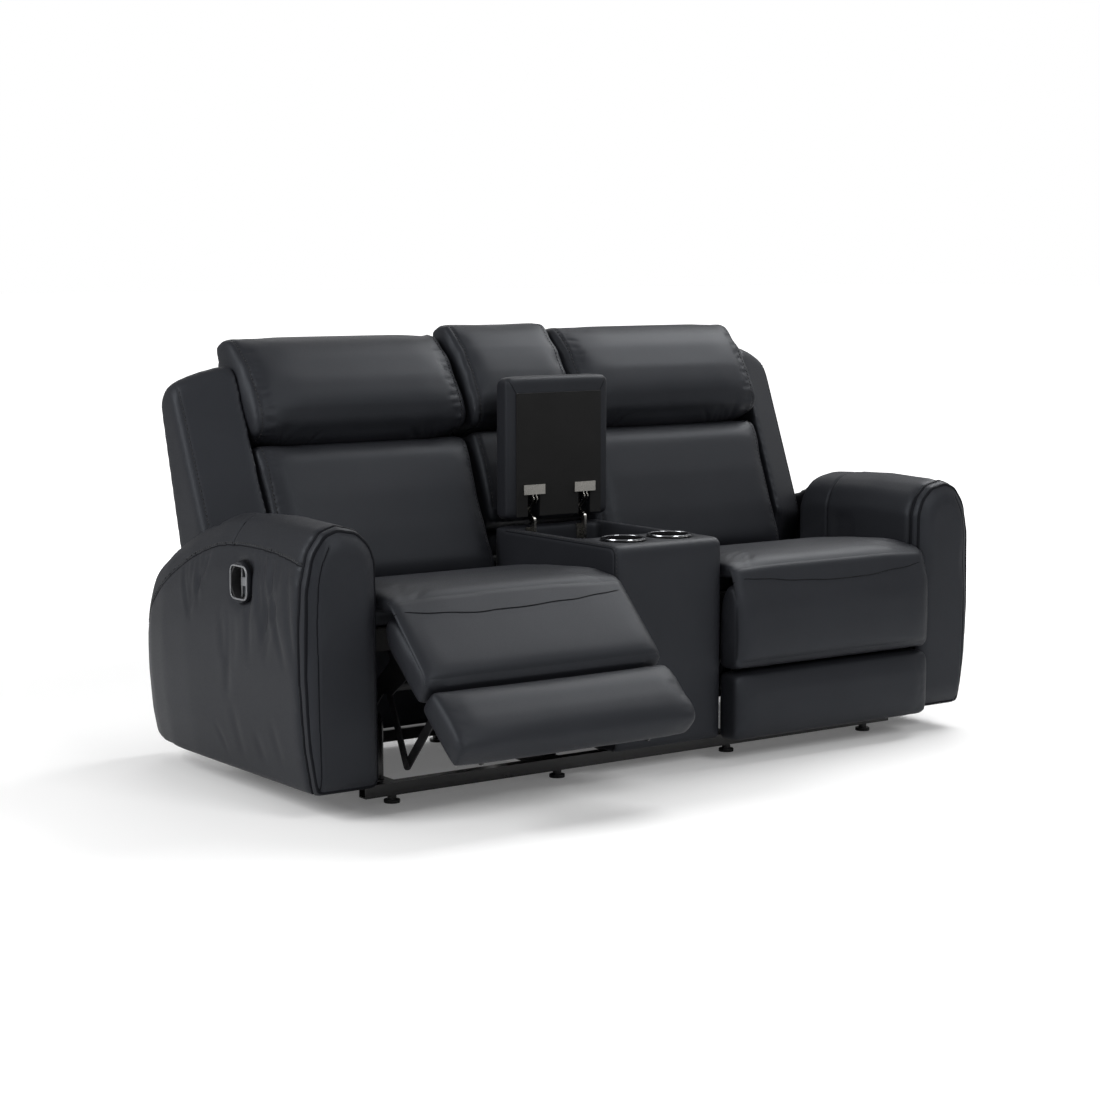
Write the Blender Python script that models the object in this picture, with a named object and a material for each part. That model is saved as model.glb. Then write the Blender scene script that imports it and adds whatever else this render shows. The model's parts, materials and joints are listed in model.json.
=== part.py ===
"""Reclining loveseat with a storage console between its two seats.

Metres, +Z up, X to the right of someone facing the front, front towards -Y, floor at Z = 0.
The origin is on the floor under the middle of the piece as it stands in the photograph:
right seat closed, left footrest half open, console lid up.
Right-hand pieces are modelled, and left-hand ones are their mirror images.
"""

import math

import bmesh
import bpy
from mathutils import Matrix, Vector

# Fits shared by the whole piece
GAP = 0.0003  # between pieces that touch
EASE = 0.003  # running clearance of padded pieces
OVERRUN = 0.02  # how far a cutter passes the wall it cuts
SIDES = 12  # facets of a round bar or hole
SEAM = 0.003  # depth of a sewn channel

# Overall places
FRONT = -0.2722  # arm fronts, which the piece's depths are measured from
FLOOR_CLEARANCE = 0.057  # under arms and console
CONSOLE_WIDTH = 0.307
SEAT_WIDTH = 0.626
SEAT_EASE = 0.005  # beside each seat cushion
BACK_TILT = math.radians(20)

# Photographed pose
LEFT_RECLINE = math.radians(3)
LEFT_FOOTREST = math.radians(49)
GLIDE_RATIO = 0.148  # metres the seat glides forward for each radian of recline

# Arms
ARM_WIDTH = 0.177
ARM_HEIGHT = 0.622
ARM_DEPTH = 0.854
ARM_FRONT_DEPTH = 0.028
ARM_PIPING = 0.006
ARM_FRONT_CROWN = 0.014
ARM_SECTION_SHARES = (
    (0, 0), (0.83, 0), (0.93, 0.18), (0.99, 0.43), (1, 0.61), (0.966, 0.79), (0.876, 0.91),
    (0.706, 0.98), (0.508, 1), (0.254, 0.982), (0.085, 0.934), (0, 0.864),
)
ARM_DEPTH_SHARES = (0, 0.2, 0.44, 0.6, 0.75, 0.86, 0.93, 0.98, 1)
ARM_TOP_SHARES = (0.996, 1.006, 0.989, 0.93, 0.845, 0.775, 0.70, 0.60, 0.46)
ARM_WIDTH_SHARES = (1, 1, 1, 1, 0.966, 0.88, 0.75, 0.6, 0.42)
ARM_POCKET_START = 0.439  # where the wing's pocket begins behind the arm front
ARM_POCKET_FLOOR = 0.270
ARM_POCKET_WIDTH = 0.113

# Steel base
RAIL = 0.028
RAIL_WALL = 0.003
RAIL_TOP = 0.046
FRONT_RAIL_DEPTH = 0.090
REAR_RAIL_BEHIND = 0.055  # behind the lugs that the back turns on
RAIL_END_EASE = 0.015
FOOT_RADIUS = 0.018
FOOT_DISC = 0.007
FOOT_STEM_RADIUS = 0.010
OUTER_FOOT_INSET = 0.0895  # beside the arm
INNER_FOOT_INSET = 0.0955  # beside the console
BRACKET_WIDTH = 0.040
BRACKET_HEIGHT = 0.100
BRACKET_DEPTHS = (0.150, 0.460)
REAR_PANEL_THICK = 0.020
REAR_PANEL_CROWN = 0.006
REAR_PANEL_TOP = 0.320

# Mechanism plates and links
PLATE = 0.004
LINK = 0.003
PIN_RADIUS = 0.006
PIN_EASE = 0.0005
PIN_HEAD = 0.002
PIN_HEAD_RADIUS = 0.009
LINK_RADIUS = 0.011
TOWER_WIDTH = 0.150
TOWER_HEIGHT = 0.150
TOWER_DEPTHS = (0.185, 0.470)
TRACK_HEIGHT = 0.165
GLIDE_TRAVEL = 0.072
TORQUE_RADIUS = 0.0125
TORQUE_WALL = 0.002

# Footrest, with its places measured from the hinge at the seat's front edge
HINGE_DEPTH = -0.024
HINGE_HEIGHT = 0.403
PAD_FRONT = 0.024
PAD_BACK = 0.038
PAD_TOP = 0.022
UPPER_PAD = 0.208
LOWER_PAD = 0.162
PAD_BULGE = 0.010
HANGER_BACK = 0.0735
HANGER_DROP = 0.160
LINK_PIVOT_BACK = 0.131
LINK_PIVOT_DROP = 0.150
NOTCH_FRONT = 0.014
NOTCH_DROP = 0.040
NOTCH_EASE = 0.004
CROSS_BAR_WIDTH = 0.022
CROSS_BAR_THICK = 0.012
CROSS_BAR_DROPS = (0.105, 0.285)

# Seat
FRAME_BOTTOM = 0.345
FRAME_THICK = 0.046
FRAME_RAIL = 0.045
FRAME_SLATS = 5
SLAT_WIDTH = 0.022
SEAT_LIP = 0.046  # ahead of the arm fronts
SEAT_LIP_EASE = 0.0075  # over the footrest, whose stuffed face turns under it
SEAT_REAR = 0.444
SEAT_CROWN = 0.474
SEAT_NECK = 0.020
SEAT_DRAW = 0.016

# Backs
BACK_FOOT_DEPTH = 0.458
BACK_FOOT_HEIGHT = 0.425
RECLINE_BELOW = 0.038
RECLINE_BEHIND = 0.079
BACK_THICK = 0.095
BACK_START = -0.015
PILLOW_START = 0.358
PILLOW_TOP = 0.630
PILLOW_FRONT = 0.014
PILLOW_ROLL = 0.034
BACK_DRAW = 0.018
CUSHION_EDGE = 0.0065  # beside the console
CUSHION_INSET = 0.0375  # beside the arm, where the wing begins
SHELL_THICK = 0.042
SHELL_START = -0.020
SHELL_TOP = 0.600
SHELL_EASE = 0.004  # how far its strip to the wing lies in from both faces
WING_WIDTH = 0.140
WING_START = 0.090
WING_FOOT_START = 0
WING_FOOT_FRONT = 0.060
WING_TOP = 0.556
WING_FRONT = 0.010
WING_BACK = 0.140
WING_FOOT_BACK = 0.215
WING_FALL = 0.040  # how far its top drops to the outside
WING_SWEEP = 0.072  # how far its face recedes to the outside
LUG_RADIUS = 0.016
LUG_REACH = 0.068
LUG_RISE = 0.041

# Console
CONSOLE_FRONT = 0.006  # ahead of the arm fronts
CONSOLE_TOP = 0.531
CONSOLE_REAR = 0.480
CONSOLE_EDGE = 0.030
CONSOLE_WALL = 0.018
DECK_THICK = 0.028
DECK_REAR = 0.146
WELL_FLOOR = 0.240
WELL_REAR = 0.440
WELL_SIDE = 0.026
CUP_X = 0.067
CUP_DEPTH = 0.084
CUP_FLANGE = 0.053
CUP_FLANGE_THICK = 0.004
CUP_RADIUS = 0.0455
CUP_TAPER = 0.004
CUP_DEEP = 0.085
CUP_WALL = 0.002
CUP_SIDES = 24
CONSOLE_BACK_START = 0.115
CONSOLE_BACK_THICK = 0.130
CONSOLE_PANEL_START = 0.058
CONSOLE_PILLOW_TOP = 0.640
POST_WIDTH = 0.040
POST_THICK = 0.024

# Console lid, upright, and its two concealed hinges
LID_LENGTH = 0.345
LID_THICK = 0.052
LID_FACE = 0.429
LID_START = 0.545
LID_AXIS_BEHIND = 0.0295
LID_AXIS_ABOVE = 0.0205
LID_EDGE = 0.010
LID_SIDE_EASE = 0.0035
LID_DRAW = 0.010
LINING = 0.003
LINING_TOP_MARGIN = 0.040
LINING_SIDE_MARGIN = 0.026
LID_HINGE_X = 0.075
LID_HINGE_ARM = 0.006
LID_CUP_WIDTH = 0.036
LID_CUP_HIGH = 0.062
LID_EAR = 0.003
LID_PIN_RADIUS = 0.003
LID_PLATE_WIDTH = 0.062
LID_PLATE_HIGH = 0.024
LID_BASE_DROP = 0.060
LID_BASE_WIDTH = 0.030

# Release handles
HANDLE_DEPTH = 0.267
HANDLE_HEIGHT = 0.482
HANDLE_HALF_WIDE = 0.040
HANDLE_HALF_TALL = 0.044
HANDLE_PROUD = 0.003
HANDLE_DEEP = 0.034
HANDLE_RIM = 0.006
HANDLE_FLOOR = 0.003
HANDLE_PIN_RADIUS = 0.002
PADDLE_THICK = 0.006
PADDLE_STEM = 0.018
PADDLE_BAR = 0.050
PADDLE_EASE = 0.003

# Worked out from the sizes above
CONSOLE_HALF = CONSOLE_WIDTH / 2
ARM_INNER = CONSOLE_HALF + SEAT_WIDTH
SEAT_IN = CONSOLE_HALF + SEAT_EASE
SEAT_OUT = ARM_INNER - SEAT_EASE
OUTER_FOOT_X = ARM_INNER - OUTER_FOOT_INSET
INNER_FOOT_X = CONSOLE_HALF + INNER_FOOT_INSET
OUTER_PLATE_X = OUTER_FOOT_X + PLATE
INNER_PLATE_X = INNER_FOOT_X - PLATE
CUSHION_IN = CONSOLE_HALF + CUSHION_EDGE
CUSHION_OUT = ARM_INNER - CUSHION_INSET
HINGE = Vector((0, FRONT + HINGE_DEPTH, HINGE_HEIGHT))
LINK_PIVOT = HINGE + Vector((0, LINK_PIVOT_BACK, -LINK_PIVOT_DROP))
HANGER = HINGE + Vector((0, HANGER_BACK, -HANGER_DROP))
ELBOW = LINK_PIVOT + (HANGER - HINGE)
BACK_FOOT = Vector((0, FRONT + BACK_FOOT_DEPTH, BACK_FOOT_HEIGHT))
LID_AXIS = Vector((0, FRONT + LID_FACE + LID_AXIS_BEHIND, LID_START + LID_AXIS_ABOVE))
PAD_BOTTOM = PAD_TOP - UPPER_PAD - SEAM - LOWER_PAD
NECK_FRONT = HINGE.y + PAD_BACK + NOTCH_EASE
NECK_REAR = NECK_FRONT + SEAT_NECK
FRAME_TOP = FRAME_BOTTOM + FRAME_THICK
LID_HALF = CONSOLE_HALF - LID_SIDE_EASE

FINISHES = {
    "leather": ((0.040, 0.043, 0.048), 0.42, 0),
    "black_fabric": ((0.012, 0.012, 0.013), 0.9, 0),
    "black_steel": ((0.018, 0.018, 0.019), 0.38, 0.6),
    "nickel": ((0.62, 0.61, 0.58), 0.28, 1),
    "black_plastic": ((0.02, 0.02, 0.022), 0.35, 0),
    "board": ((0.30, 0.20, 0.11), 0.7, 0),
}


def clear_scene():
    for obj in list(bpy.data.objects):
        bpy.data.objects.remove(obj)


def finish(name):
    """The named finish as a material, made once."""
    found = bpy.data.materials.get(name)
    if found:
        return found
    colour, roughness, metallic = FINISHES[name]
    made = bpy.data.materials.new(name)
    made.use_nodes = True
    shader = made.node_tree.nodes["Principled BSDF"]
    shader.inputs["Base Color"].default_value = (*colour, 1)
    shader.inputs["Roughness"].default_value = roughness
    shader.inputs["Metallic"].default_value = metallic
    return made


# Shapes, each an object until it is joined into its piece
def shape(bm):
    bmesh.ops.recalc_face_normals(bm, faces=bm.faces)
    mesh = bpy.data.meshes.new("shape")
    bm.to_mesh(mesh)
    bm.free()
    obj = bpy.data.objects.new("shape", mesh)
    bpy.context.scene.collection.objects.link(obj)
    return obj


def loft(loops):
    """A closed solid through loops of equally many points, with both ends filled."""
    bm = bmesh.new()
    rings = [[bm.verts.new(point) for point in loop] for loop in loops]
    for ring, after in zip(rings, rings[1:]):
        for i, vert in enumerate(ring):
            bm.faces.new((vert, ring[i - 1], after[i - 1], after[i]))
    bm.faces.new(rings[0])
    bm.faces.new(rings[-1])
    return shape(bm)


def box(start, end):
    bm = bmesh.new()
    bmesh.ops.create_cube(bm, size=1)
    low, high = Vector(start), Vector(end)
    bmesh.ops.scale(bm, vec=high - low, verts=bm.verts)
    bmesh.ops.translate(bm, vec=(low + high) / 2, verts=bm.verts)
    return shape(bm)


def side_view(outline, start, end):
    """An outline of (depth, height) points, carried along X."""
    return loft([[Vector((x, *point)) for point in outline] for x in (start, end)])


def bar(centre, radius, start, end, sides=SIDES):
    """A round bar along X at a pivot."""
    return side_view(circle(centre.yz, radius, sides), start, end)


def upright(centre, radius, start, end, sides=SIDES):
    ring = circle(Vector(centre), radius, sides)
    return loft([[Vector((*point, z)) for point in ring] for z in (start, end)])


def circle(centre, radius, sides=SIDES):
    turn = 2 * math.pi / sides
    return [centre + radius * Vector((math.cos(turn * i), math.sin(turn * i))) for i in range(sides)]


def oval(centre, wide, tall, sides=CUP_SIDES):
    return [
        centre + Vector((wide * point.x, tall * point.y)) for point in circle(Vector((0, 0)), 1, sides)
    ]


def capsule(first, second, radius, steps=SIDES // 2):
    """The outline of a flat link between two eyes."""
    along = (second - first).normalized()
    start = math.atan2(along.y, along.x) + math.pi / 2
    points = []
    for centre, turn in ((first, start), (second, start + math.pi)):
        for i in range(steps + 1):
            angle = turn + math.pi * i / steps
            points.append(centre + radius * Vector((math.cos(angle), math.sin(angle))))
    return points


def rounded(corners, steps=4):
    """An outline whose corners (across, up, radius) are turned into arcs."""
    points = []
    for i, (x, y, radius) in enumerate(corners):
        corner = Vector((x, y))
        before = Vector(corners[i - 1][:2]) - corner
        after = Vector(corners[(i + 1) % len(corners)][:2]) - corner
        half = before.angle(after) / 2
        if not radius:
            points.append(corner)
            continue
        reach = radius / math.tan(half)
        first = corner + before.normalized() * reach
        last = corner + after.normalized() * reach
        centre = corner + (before.normalized() + after.normalized()).normalized() * radius / math.sin(half)
        for step in range(steps + 1):
            share = step / steps
            spoke = (first - centre).lerp(last - centre, share).normalized()
            points.append(centre + radius * spoke)
    return points


def join(name, finish_name, solids, cutters=(), carrier=None, side=1):
    """One piece from its solids less its cutters, mirrored on the left, carried by an empty."""
    piece = solids[0]
    for operation, tools in (("UNION", solids[1:]), ("DIFFERENCE", cutters)):
        for tool in tools:
            cut = piece.modifiers.new(operation.title(), "BOOLEAN")
            cut.operation = operation
            cut.object = tool
    graph = bpy.context.evaluated_depsgraph_get()
    mesh = bpy.data.meshes.new_from_object(piece.evaluated_get(graph))
    for used in (*solids, *cutters):
        bpy.data.objects.remove(used)
    if side < 0:
        mesh.transform(Matrix.Scale(-1, 4, (1, 0, 0)))
        mesh.flip_normals()
    mesh.name = name
    mesh.materials.clear()
    mesh.materials.append(finish(finish_name))
    mesh.shade_smooth()
    mesh.set_sharp_from_angle(angle=math.radians(35))
    made = bpy.data.objects.new(name, mesh)
    bpy.context.scene.collection.objects.link(made)
    if carrier:
        mesh.transform(Matrix.Translation(-Vector(carrier["home"])))
        made.parent = carrier
    return made


def pivot(name, home, carrier=None, turn=0, slide=0):
    """An empty on a joint's axis: turn opens it about -X, slide moves it forward."""
    empty = bpy.data.objects.new(name, None)
    empty["home"] = tuple(home)
    empty.location = Vector(home) - Vector(carrier["home"] if carrier else (0, 0, 0))
    empty.location.y -= slide
    empty.rotation_euler.x = -turn
    empty.parent = carrier
    bpy.context.scene.collection.objects.link(empty)
    return empty


# Soft forms
PUFF_SHARES = (0, 0.012, 0.045, 0.062, 0.08, 0.2, 0.5, 0.8, 0.92, 0.938, 0.955, 0.988, 1)
PUFF_DRAW_SHARES = (1, 0.45, 0.12, 0.30, 0.08, 0.02, 0, 0.02, 0.08, 0.30, 0.12, 0.45, 1)
WING_FALL_SHARES = (0, 0, 0, 0, 0.01, 0.04, 0.15, 0.4, 0.6, 0.66, 0.75, 0.92, 1)


def puffed(outline, start, end, draw, outlines=None):
    """A stuffed form along X: its ends drawn in, with a sewn channel round it near each end."""
    loops = []
    for number, (along, inset) in enumerate(zip(PUFF_SHARES, PUFF_DRAW_SHARES)):
        outline = outlines[number] if outlines else outline
        centre = sum(outline, Vector((0, 0))) / len(outline)
        x = start + along * (end - start)
        loop = []
        for point in outline:
            inward = centre - point
            loop.append(Vector((x, *(point + inward.normalized() * draw * inset))))
        loops.append(loop)
    return loft(loops)


def tilted(up, back, foot=BACK_FOOT):
    """A place on the leaning back as (depth, height)."""
    lean = Vector((math.sin(BACK_TILT), math.cos(BACK_TILT)))
    return foot.yz + up * lean + back * Vector((lean.y, -lean.x))


def leaning(corners, steps=3):
    """A rounded outline given in the back's own (up, back, radius), as (depth, height)."""
    return [tilted(*point) for point in rounded(corners, steps)]


def height_over(y, back):
    """The height at which the plane that far behind the back's face stands over y."""
    up = (y - BACK_FOOT.y - back * math.cos(BACK_TILT)) / math.sin(BACK_TILT)
    return tilted(up, back).y


RECLINE = Vector((0, *tilted(-RECLINE_BELOW, RECLINE_BEHIND)))
REAR_RAIL_DEPTH = RECLINE.y + LUG_RADIUS + REAR_RAIL_BEHIND - FRONT


# Steel base
def rail_along_x(name, depth, extras):
    half = ARM_INNER - RAIL_END_EASE
    low = RAIL_TOP - RAIL
    y = FRONT + depth
    bore = box(
        (-half - OVERRUN, y - RAIL / 2 + RAIL_WALL, low + RAIL_WALL),
        (half + OVERRUN, y + RAIL / 2 - RAIL_WALL, RAIL_TOP - RAIL_WALL),
    )
    tube = box((-half, y - RAIL / 2, low), (half, y + RAIL / 2, RAIL_TOP))
    tube = join("tube", "black_steel", [tube], [bore])
    return join(name, "black_steel", [tube, *extras])


def foot(x, depth, top):
    y = FRONT + depth
    return [
        upright((x, y), FOOT_RADIUS, 0, FOOT_DISC),
        upright((x, y), FOOT_STEM_RADIUS, FOOT_DISC / 2, top),
    ]


def base_rail(name, x, tower_x, bracketed, side):
    """A fore-and-aft rail with two slotted towers that the seat glides in."""
    low = RAIL_TOP - RAIL
    start = FRONT + FRONT_RAIL_DEPTH + RAIL / 2 + GAP
    end = FRONT + REAR_RAIL_DEPTH - RAIL / 2 - GAP
    bore = box(
        (x - RAIL / 2 + RAIL_WALL, start - OVERRUN, low + RAIL_WALL),
        (x + RAIL / 2 - RAIL_WALL, end + OVERRUN, RAIL_TOP - RAIL_WALL),
    )
    tube = join("tube", "black_steel", [box((x - RAIL / 2, start, low), (x + RAIL / 2, end, RAIL_TOP))], [bore])
    solids, cutters = [tube], []
    reach = PIN_RADIUS + PIN_EASE
    for depth in TOWER_DEPTHS:
        y = FRONT + depth
        outline = rounded((
            (y - TOWER_WIDTH / 2, RAIL_TOP - RAIL_WALL / 2, 0),
            (y + TOWER_WIDTH / 2, RAIL_TOP - RAIL_WALL / 2, 0),
            (y + TOWER_WIDTH / 2, RAIL_TOP + TOWER_HEIGHT, TOWER_WIDTH / 5),
            (y - TOWER_WIDTH / 2, RAIL_TOP + TOWER_HEIGHT, TOWER_WIDTH / 5),
        ))
        solids.append(side_view(outline, tower_x, tower_x + LINK))
        slot = capsule(
            Vector((y - GLIDE_TRAVEL / 2, TRACK_HEIGHT)), Vector((y + GLIDE_TRAVEL / 2, TRACK_HEIGHT)), reach,
        )
        cutters.append(side_view(slot, tower_x - OVERRUN, tower_x + LINK + OVERRUN))
    if bracketed:
        for depth in BRACKET_DEPTHS:
            y = FRONT + depth
            wall = ARM_INNER - GAP
            outline = [
                (x, RAIL_TOP - RAIL_WALL), (wall, RAIL_TOP - RAIL_WALL),
                (wall, RAIL_TOP + BRACKET_HEIGHT), (wall - RAIL_WALL, RAIL_TOP + BRACKET_HEIGHT),
                (wall - RAIL_WALL, RAIL_TOP), (x, RAIL_TOP),
            ]
            ends = (y - BRACKET_WIDTH / 2, y + BRACKET_WIDTH / 2)
            solids.append(loft([[Vector((px, end_y, pz)) for px, pz in outline] for end_y in ends]))
            cutters.append(box(
                (x - RAIL / 2 + RAIL_WALL, start, low + RAIL_WALL),
                (x + RAIL / 2 - RAIL_WALL, end, RAIL_TOP - RAIL_WALL - GAP),
            ))
    join(name, "black_steel", solids, cutters, side=side)


def build_rear_panel(side, word):
    """The padded board that closes the seat off behind, notched where the wing's foot swings."""
    y, low = FRONT + REAR_RAIL_DEPTH, RAIL_TOP + GAP
    half, soft = REAR_PANEL_THICK / 2, REAR_PANEL_THICK
    outline = rounded((
        (y - half, low, 0), (y + half, low, half / 2), (y + half + REAR_PANEL_CROWN, (low + REAR_PANEL_TOP) / 2, soft),
        (y + half, REAR_PANEL_TOP, half), (y - half, REAR_PANEL_TOP, half),
    ))
    notch = box(
        (CUSHION_OUT, y - REAR_PANEL_THICK, ARM_POCKET_FLOOR),
        (SEAT_OUT + OVERRUN, y + REAR_PANEL_THICK, REAR_PANEL_TOP + OVERRUN),
    )
    join(f"{word}_rear_panel", "leather", [puffed(outline, SEAT_IN, SEAT_OUT, half / 2)], [notch], side=side)


def build_base():
    top = RAIL_TOP - RAIL + RAIL_WALL / 2
    for name, depth in (("front_rail", FRONT_RAIL_DEPTH), ("rear_rail", REAR_RAIL_DEPTH)):
        feet = [foot(s * x, depth, top) for s in (-1, 1) for x in (OUTER_FOOT_X, INNER_FOOT_X)]
        rail_along_x(name, depth, sum(feet, []))
    for side, word in ((-1, "left"), (1, "right")):
        build_rear_panel(side, word)
        base_rail(f"{word}_outer_base_rail", OUTER_FOOT_X, OUTER_PLATE_X + PLATE + GAP, True, side)
        base_rail(f"{word}_inner_base_rail", INNER_FOOT_X, INNER_PLATE_X - PLATE - GAP - LINK, False, side)


# Arms
def arm_section(width, top):
    return [
        Vector((ARM_INNER + across * width, FLOOR_CLEARANCE + up * (top - FLOOR_CLEARANCE)))
        for across, up in ARM_SECTION_SHARES
    ]


def build_arm(side, word):
    start = FRONT + ARM_FRONT_DEPTH + GAP
    length = ARM_DEPTH - ARM_FRONT_DEPTH
    loops = []
    for along, top, width in zip(ARM_DEPTH_SHARES, ARM_TOP_SHARES, ARM_WIDTH_SHARES):
        y = start + along * length
        section = arm_section(width * ARM_WIDTH, top * ARM_HEIGHT)
        loops.append([Vector((point.x, y, point.y)) for point in section])
    pocket = box(
        (ARM_INNER - OVERRUN, FRONT + ARM_POCKET_START, ARM_POCKET_FLOOR),
        (ARM_INNER + ARM_POCKET_WIDTH, FRONT + ARM_DEPTH + OVERRUN, ARM_HEIGHT + OVERRUN),
    )
    outside = ARM_INNER + ARM_WIDTH + HANDLE_PROUD
    seat = side_view(
        oval(handle_centre(), HANDLE_HALF_WIDE + GAP, HANDLE_HALF_TALL + GAP),
        outside - HANDLE_DEEP - GAP, outside + OVERRUN,
    )
    join(f"{word}_arm", "leather", [loft(loops)], [pocket, seat], side=side)
    build_arm_front(side, word)
    build_handle(side, word, outside)


def build_arm_front(side, word):
    """The boxed front panel: piping all round a stuffed face."""
    section = arm_section(ARM_WIDTH, ARM_TOP_SHARES[0] * ARM_HEIGHT)
    middle = sum(section, Vector((0, 0))) / len(section)
    back = FRONT + ARM_FRONT_DEPTH
    rings = (
        (back, 0), (FRONT + 2 * ARM_PIPING, 0), (FRONT + ARM_PIPING, ARM_PIPING),
        (FRONT, ARM_PIPING / 2), (FRONT + ARM_PIPING / 3, 2 * ARM_PIPING),
        (FRONT - ARM_FRONT_CROWN / 2, 4 * ARM_PIPING), (FRONT - ARM_FRONT_CROWN, 8 * ARM_PIPING),
    )
    loops = []
    for y, inset in rings:
        loop = []
        for point in section:
            inward = middle - point
            moved = point + Vector((inward.x, inward.y)).normalized() * inset
            loop.append(Vector((moved.x, y, moved.y)))
        loops.append(loop)
    join(f"{word}_arm_front", "leather", [loft(loops)], side=side)


# Release handles
def handle_centre():
    return Vector((FRONT + HANDLE_DEPTH, HANDLE_HEIGHT))


def build_handle(side, word, outside):
    centre = handle_centre()
    inner_wide, inner_tall = HANDLE_HALF_WIDE - HANDLE_RIM, HANDLE_HALF_TALL - HANDLE_RIM
    floor = outside - HANDLE_DEEP
    rear = centre.x + inner_wide / 2
    pin_x = outside - HANDLE_DEEP / 2
    pin_half = inner_tall * math.cos(math.asin(0.5)) + HANDLE_RIM / 2
    dish = side_view(oval(centre, inner_wide, inner_tall), floor + HANDLE_FLOOR, outside + OVERRUN)
    hole = upright((pin_x, rear), HANDLE_PIN_RADIUS + PIN_EASE, centre.y - pin_half, centre.y + pin_half)
    body = side_view(oval(centre, HANDLE_HALF_WIDE, HANDLE_HALF_TALL), floor, outside)
    join(f"{word}_bezel", "black_plastic", [body], [dish, hole], side=side)
    paddle = pivot(f"{word}_release_pivot", (side * pin_x, rear, centre.y))
    stem = box(
        (pin_x - PADDLE_THICK / 2, centre.x - inner_wide / 3, centre.y - PADDLE_STEM / 2),
        (pin_x + PADDLE_THICK / 2, rear, centre.y + PADDLE_STEM / 2),
    )
    cross = box(
        (pin_x - PADDLE_THICK / 2, centre.x - inner_wide / 2 - PADDLE_THICK, centre.y - PADDLE_BAR / 2),
        (pin_x + PADDLE_THICK, centre.x - inner_wide / 4, centre.y + PADDLE_BAR / 2),
    )
    pin = upright((pin_x, rear), HANDLE_PIN_RADIUS, centre.y - pin_half + PIN_EASE, centre.y + pin_half - PIN_EASE)
    made = join(f"{word}_release_paddle", "black_plastic", [stem, cross, pin], side=side)
    made.data.transform(Matrix.Translation(-Vector(paddle["home"])))
    made.parent = paddle


# Mechanism
STACKS = ((OUTER_PLATE_X, -1), (INNER_PLATE_X, 1))  # inward faces of each seat's two side plates


def layer(face, toward, start, thick):
    """The X range of a plate that lies start beyond a side plate's face."""
    ends = (face + toward * start, face + toward * (start + thick))
    return min(ends), max(ends)


REAR_LINK_AT = GAP
FRONT_LINK_AT = REAR_LINK_AT + LINK + GAP
BRACKET_AT = FRONT_LINK_AT + LINK + GAP
OUTSIDE_AT = -PLATE - GAP


def stud(face, toward, centre, start, end, radius=PIN_RADIUS):
    return bar(centre, radius, *layer(face, toward, start, end - start))


def place(y, z):
    return Vector((0, y, z))


def build_side_plate(word, side, name, face, toward, carrier):
    """A profiled plate with studs for the hinge, the rear link, the back and the two tracks."""
    eye, lug, step = LINK_RADIUS, LUG_RADIUS, TOWER_WIDTH / 8
    pins = [FRONT + depth + GLIDE_TRAVEL / 2 - PIN_EASE for depth in TOWER_DEPTHS]
    low, arch = TRACK_HEIGHT - lug, TRACK_HEIGHT + 2 * lug
    corners = [
        (HINGE.y - eye, HINGE.z + eye, 0.9 * eye), (HINGE.y - eye, HINGE.z - eye, 0.9 * eye),
        (NECK_FRONT, HINGE.z - eye, 0), (NECK_FRONT, LINK_PIVOT.z + 2 * lug, eye),
        (LINK_PIVOT.y - 2 * eye, LINK_PIVOT.z - lug, eye), (LINK_PIVOT.y + eye, LINK_PIVOT.z - lug, eye),
        (pins[0] - step, low, eye), (pins[0] + step, low, eye), (pins[0] + 2 * step, arch, eye),
        (pins[1] - 3 * step, arch, eye), (pins[1] - step, low, eye), (pins[1] + step, low, eye),
        (RECLINE.y + lug, FRAME_BOTTOM - 2 * lug, eye), (RECLINE.y + lug, RECLINE.z + lug, 0.9 * lug),
        (RECLINE.y - lug, RECLINE.z + lug, 0.9 * lug), (RECLINE.y - lug, FRAME_BOTTOM - GAP, 0),
        (NECK_REAR, FRAME_BOTTOM - GAP, 0), (NECK_REAR, HINGE.z + eye, 0),
    ]
    plate = side_view(rounded(corners, 3), *layer(face, toward, -PLATE, PLATE))
    sunk = -PLATE / 2
    track_out = -PLATE - GAP - LINK - GAP
    back_out = OUTSIDE_AT - PLATE - GAP
    solids = [
        plate,
        stud(face, toward, HINGE, sunk, BRACKET_AT - GAP, PIN_HEAD_RADIUS),
        stud(face, toward, HINGE, sunk, BRACKET_AT + PLATE + GAP + PIN_HEAD),
        stud(face, toward, HINGE, BRACKET_AT + PLATE + GAP, BRACKET_AT + PLATE + GAP + PIN_HEAD, PIN_HEAD_RADIUS),
        stud(face, toward, LINK_PIVOT, sunk, FRONT_LINK_AT + PIN_RADIUS),
        stud(face, toward, RECLINE, back_out - PIN_HEAD, sunk),
        stud(face, toward, RECLINE, back_out - PIN_HEAD, back_out, PIN_HEAD_RADIUS),
    ]
    for y in pins:
        centre = place(y, TRACK_HEIGHT)
        solids.append(stud(face, toward, centre, track_out - PIN_HEAD, sunk))
        solids.append(stud(face, toward, centre, track_out - PIN_HEAD, track_out, PIN_HEAD_RADIUS))
    window = rounded((
        (NECK_REAR + 2 * lug, FRAME_BOTTOM - lug, eye), (LINK_PIVOT.y + 3 * lug, LINK_PIVOT.z, eye),
        (pins[1] - 3 * step, LINK_PIVOT.z, eye), (pins[1], FRAME_BOTTOM - lug, eye),
    ), 3)
    cutter = side_view(window, *layer(face, toward, -PLATE - OVERRUN, PLATE + 2 * OVERRUN))
    join(f"{word}_side_plate_{name}", "black_steel", solids, [cutter], carrier, side)


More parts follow.
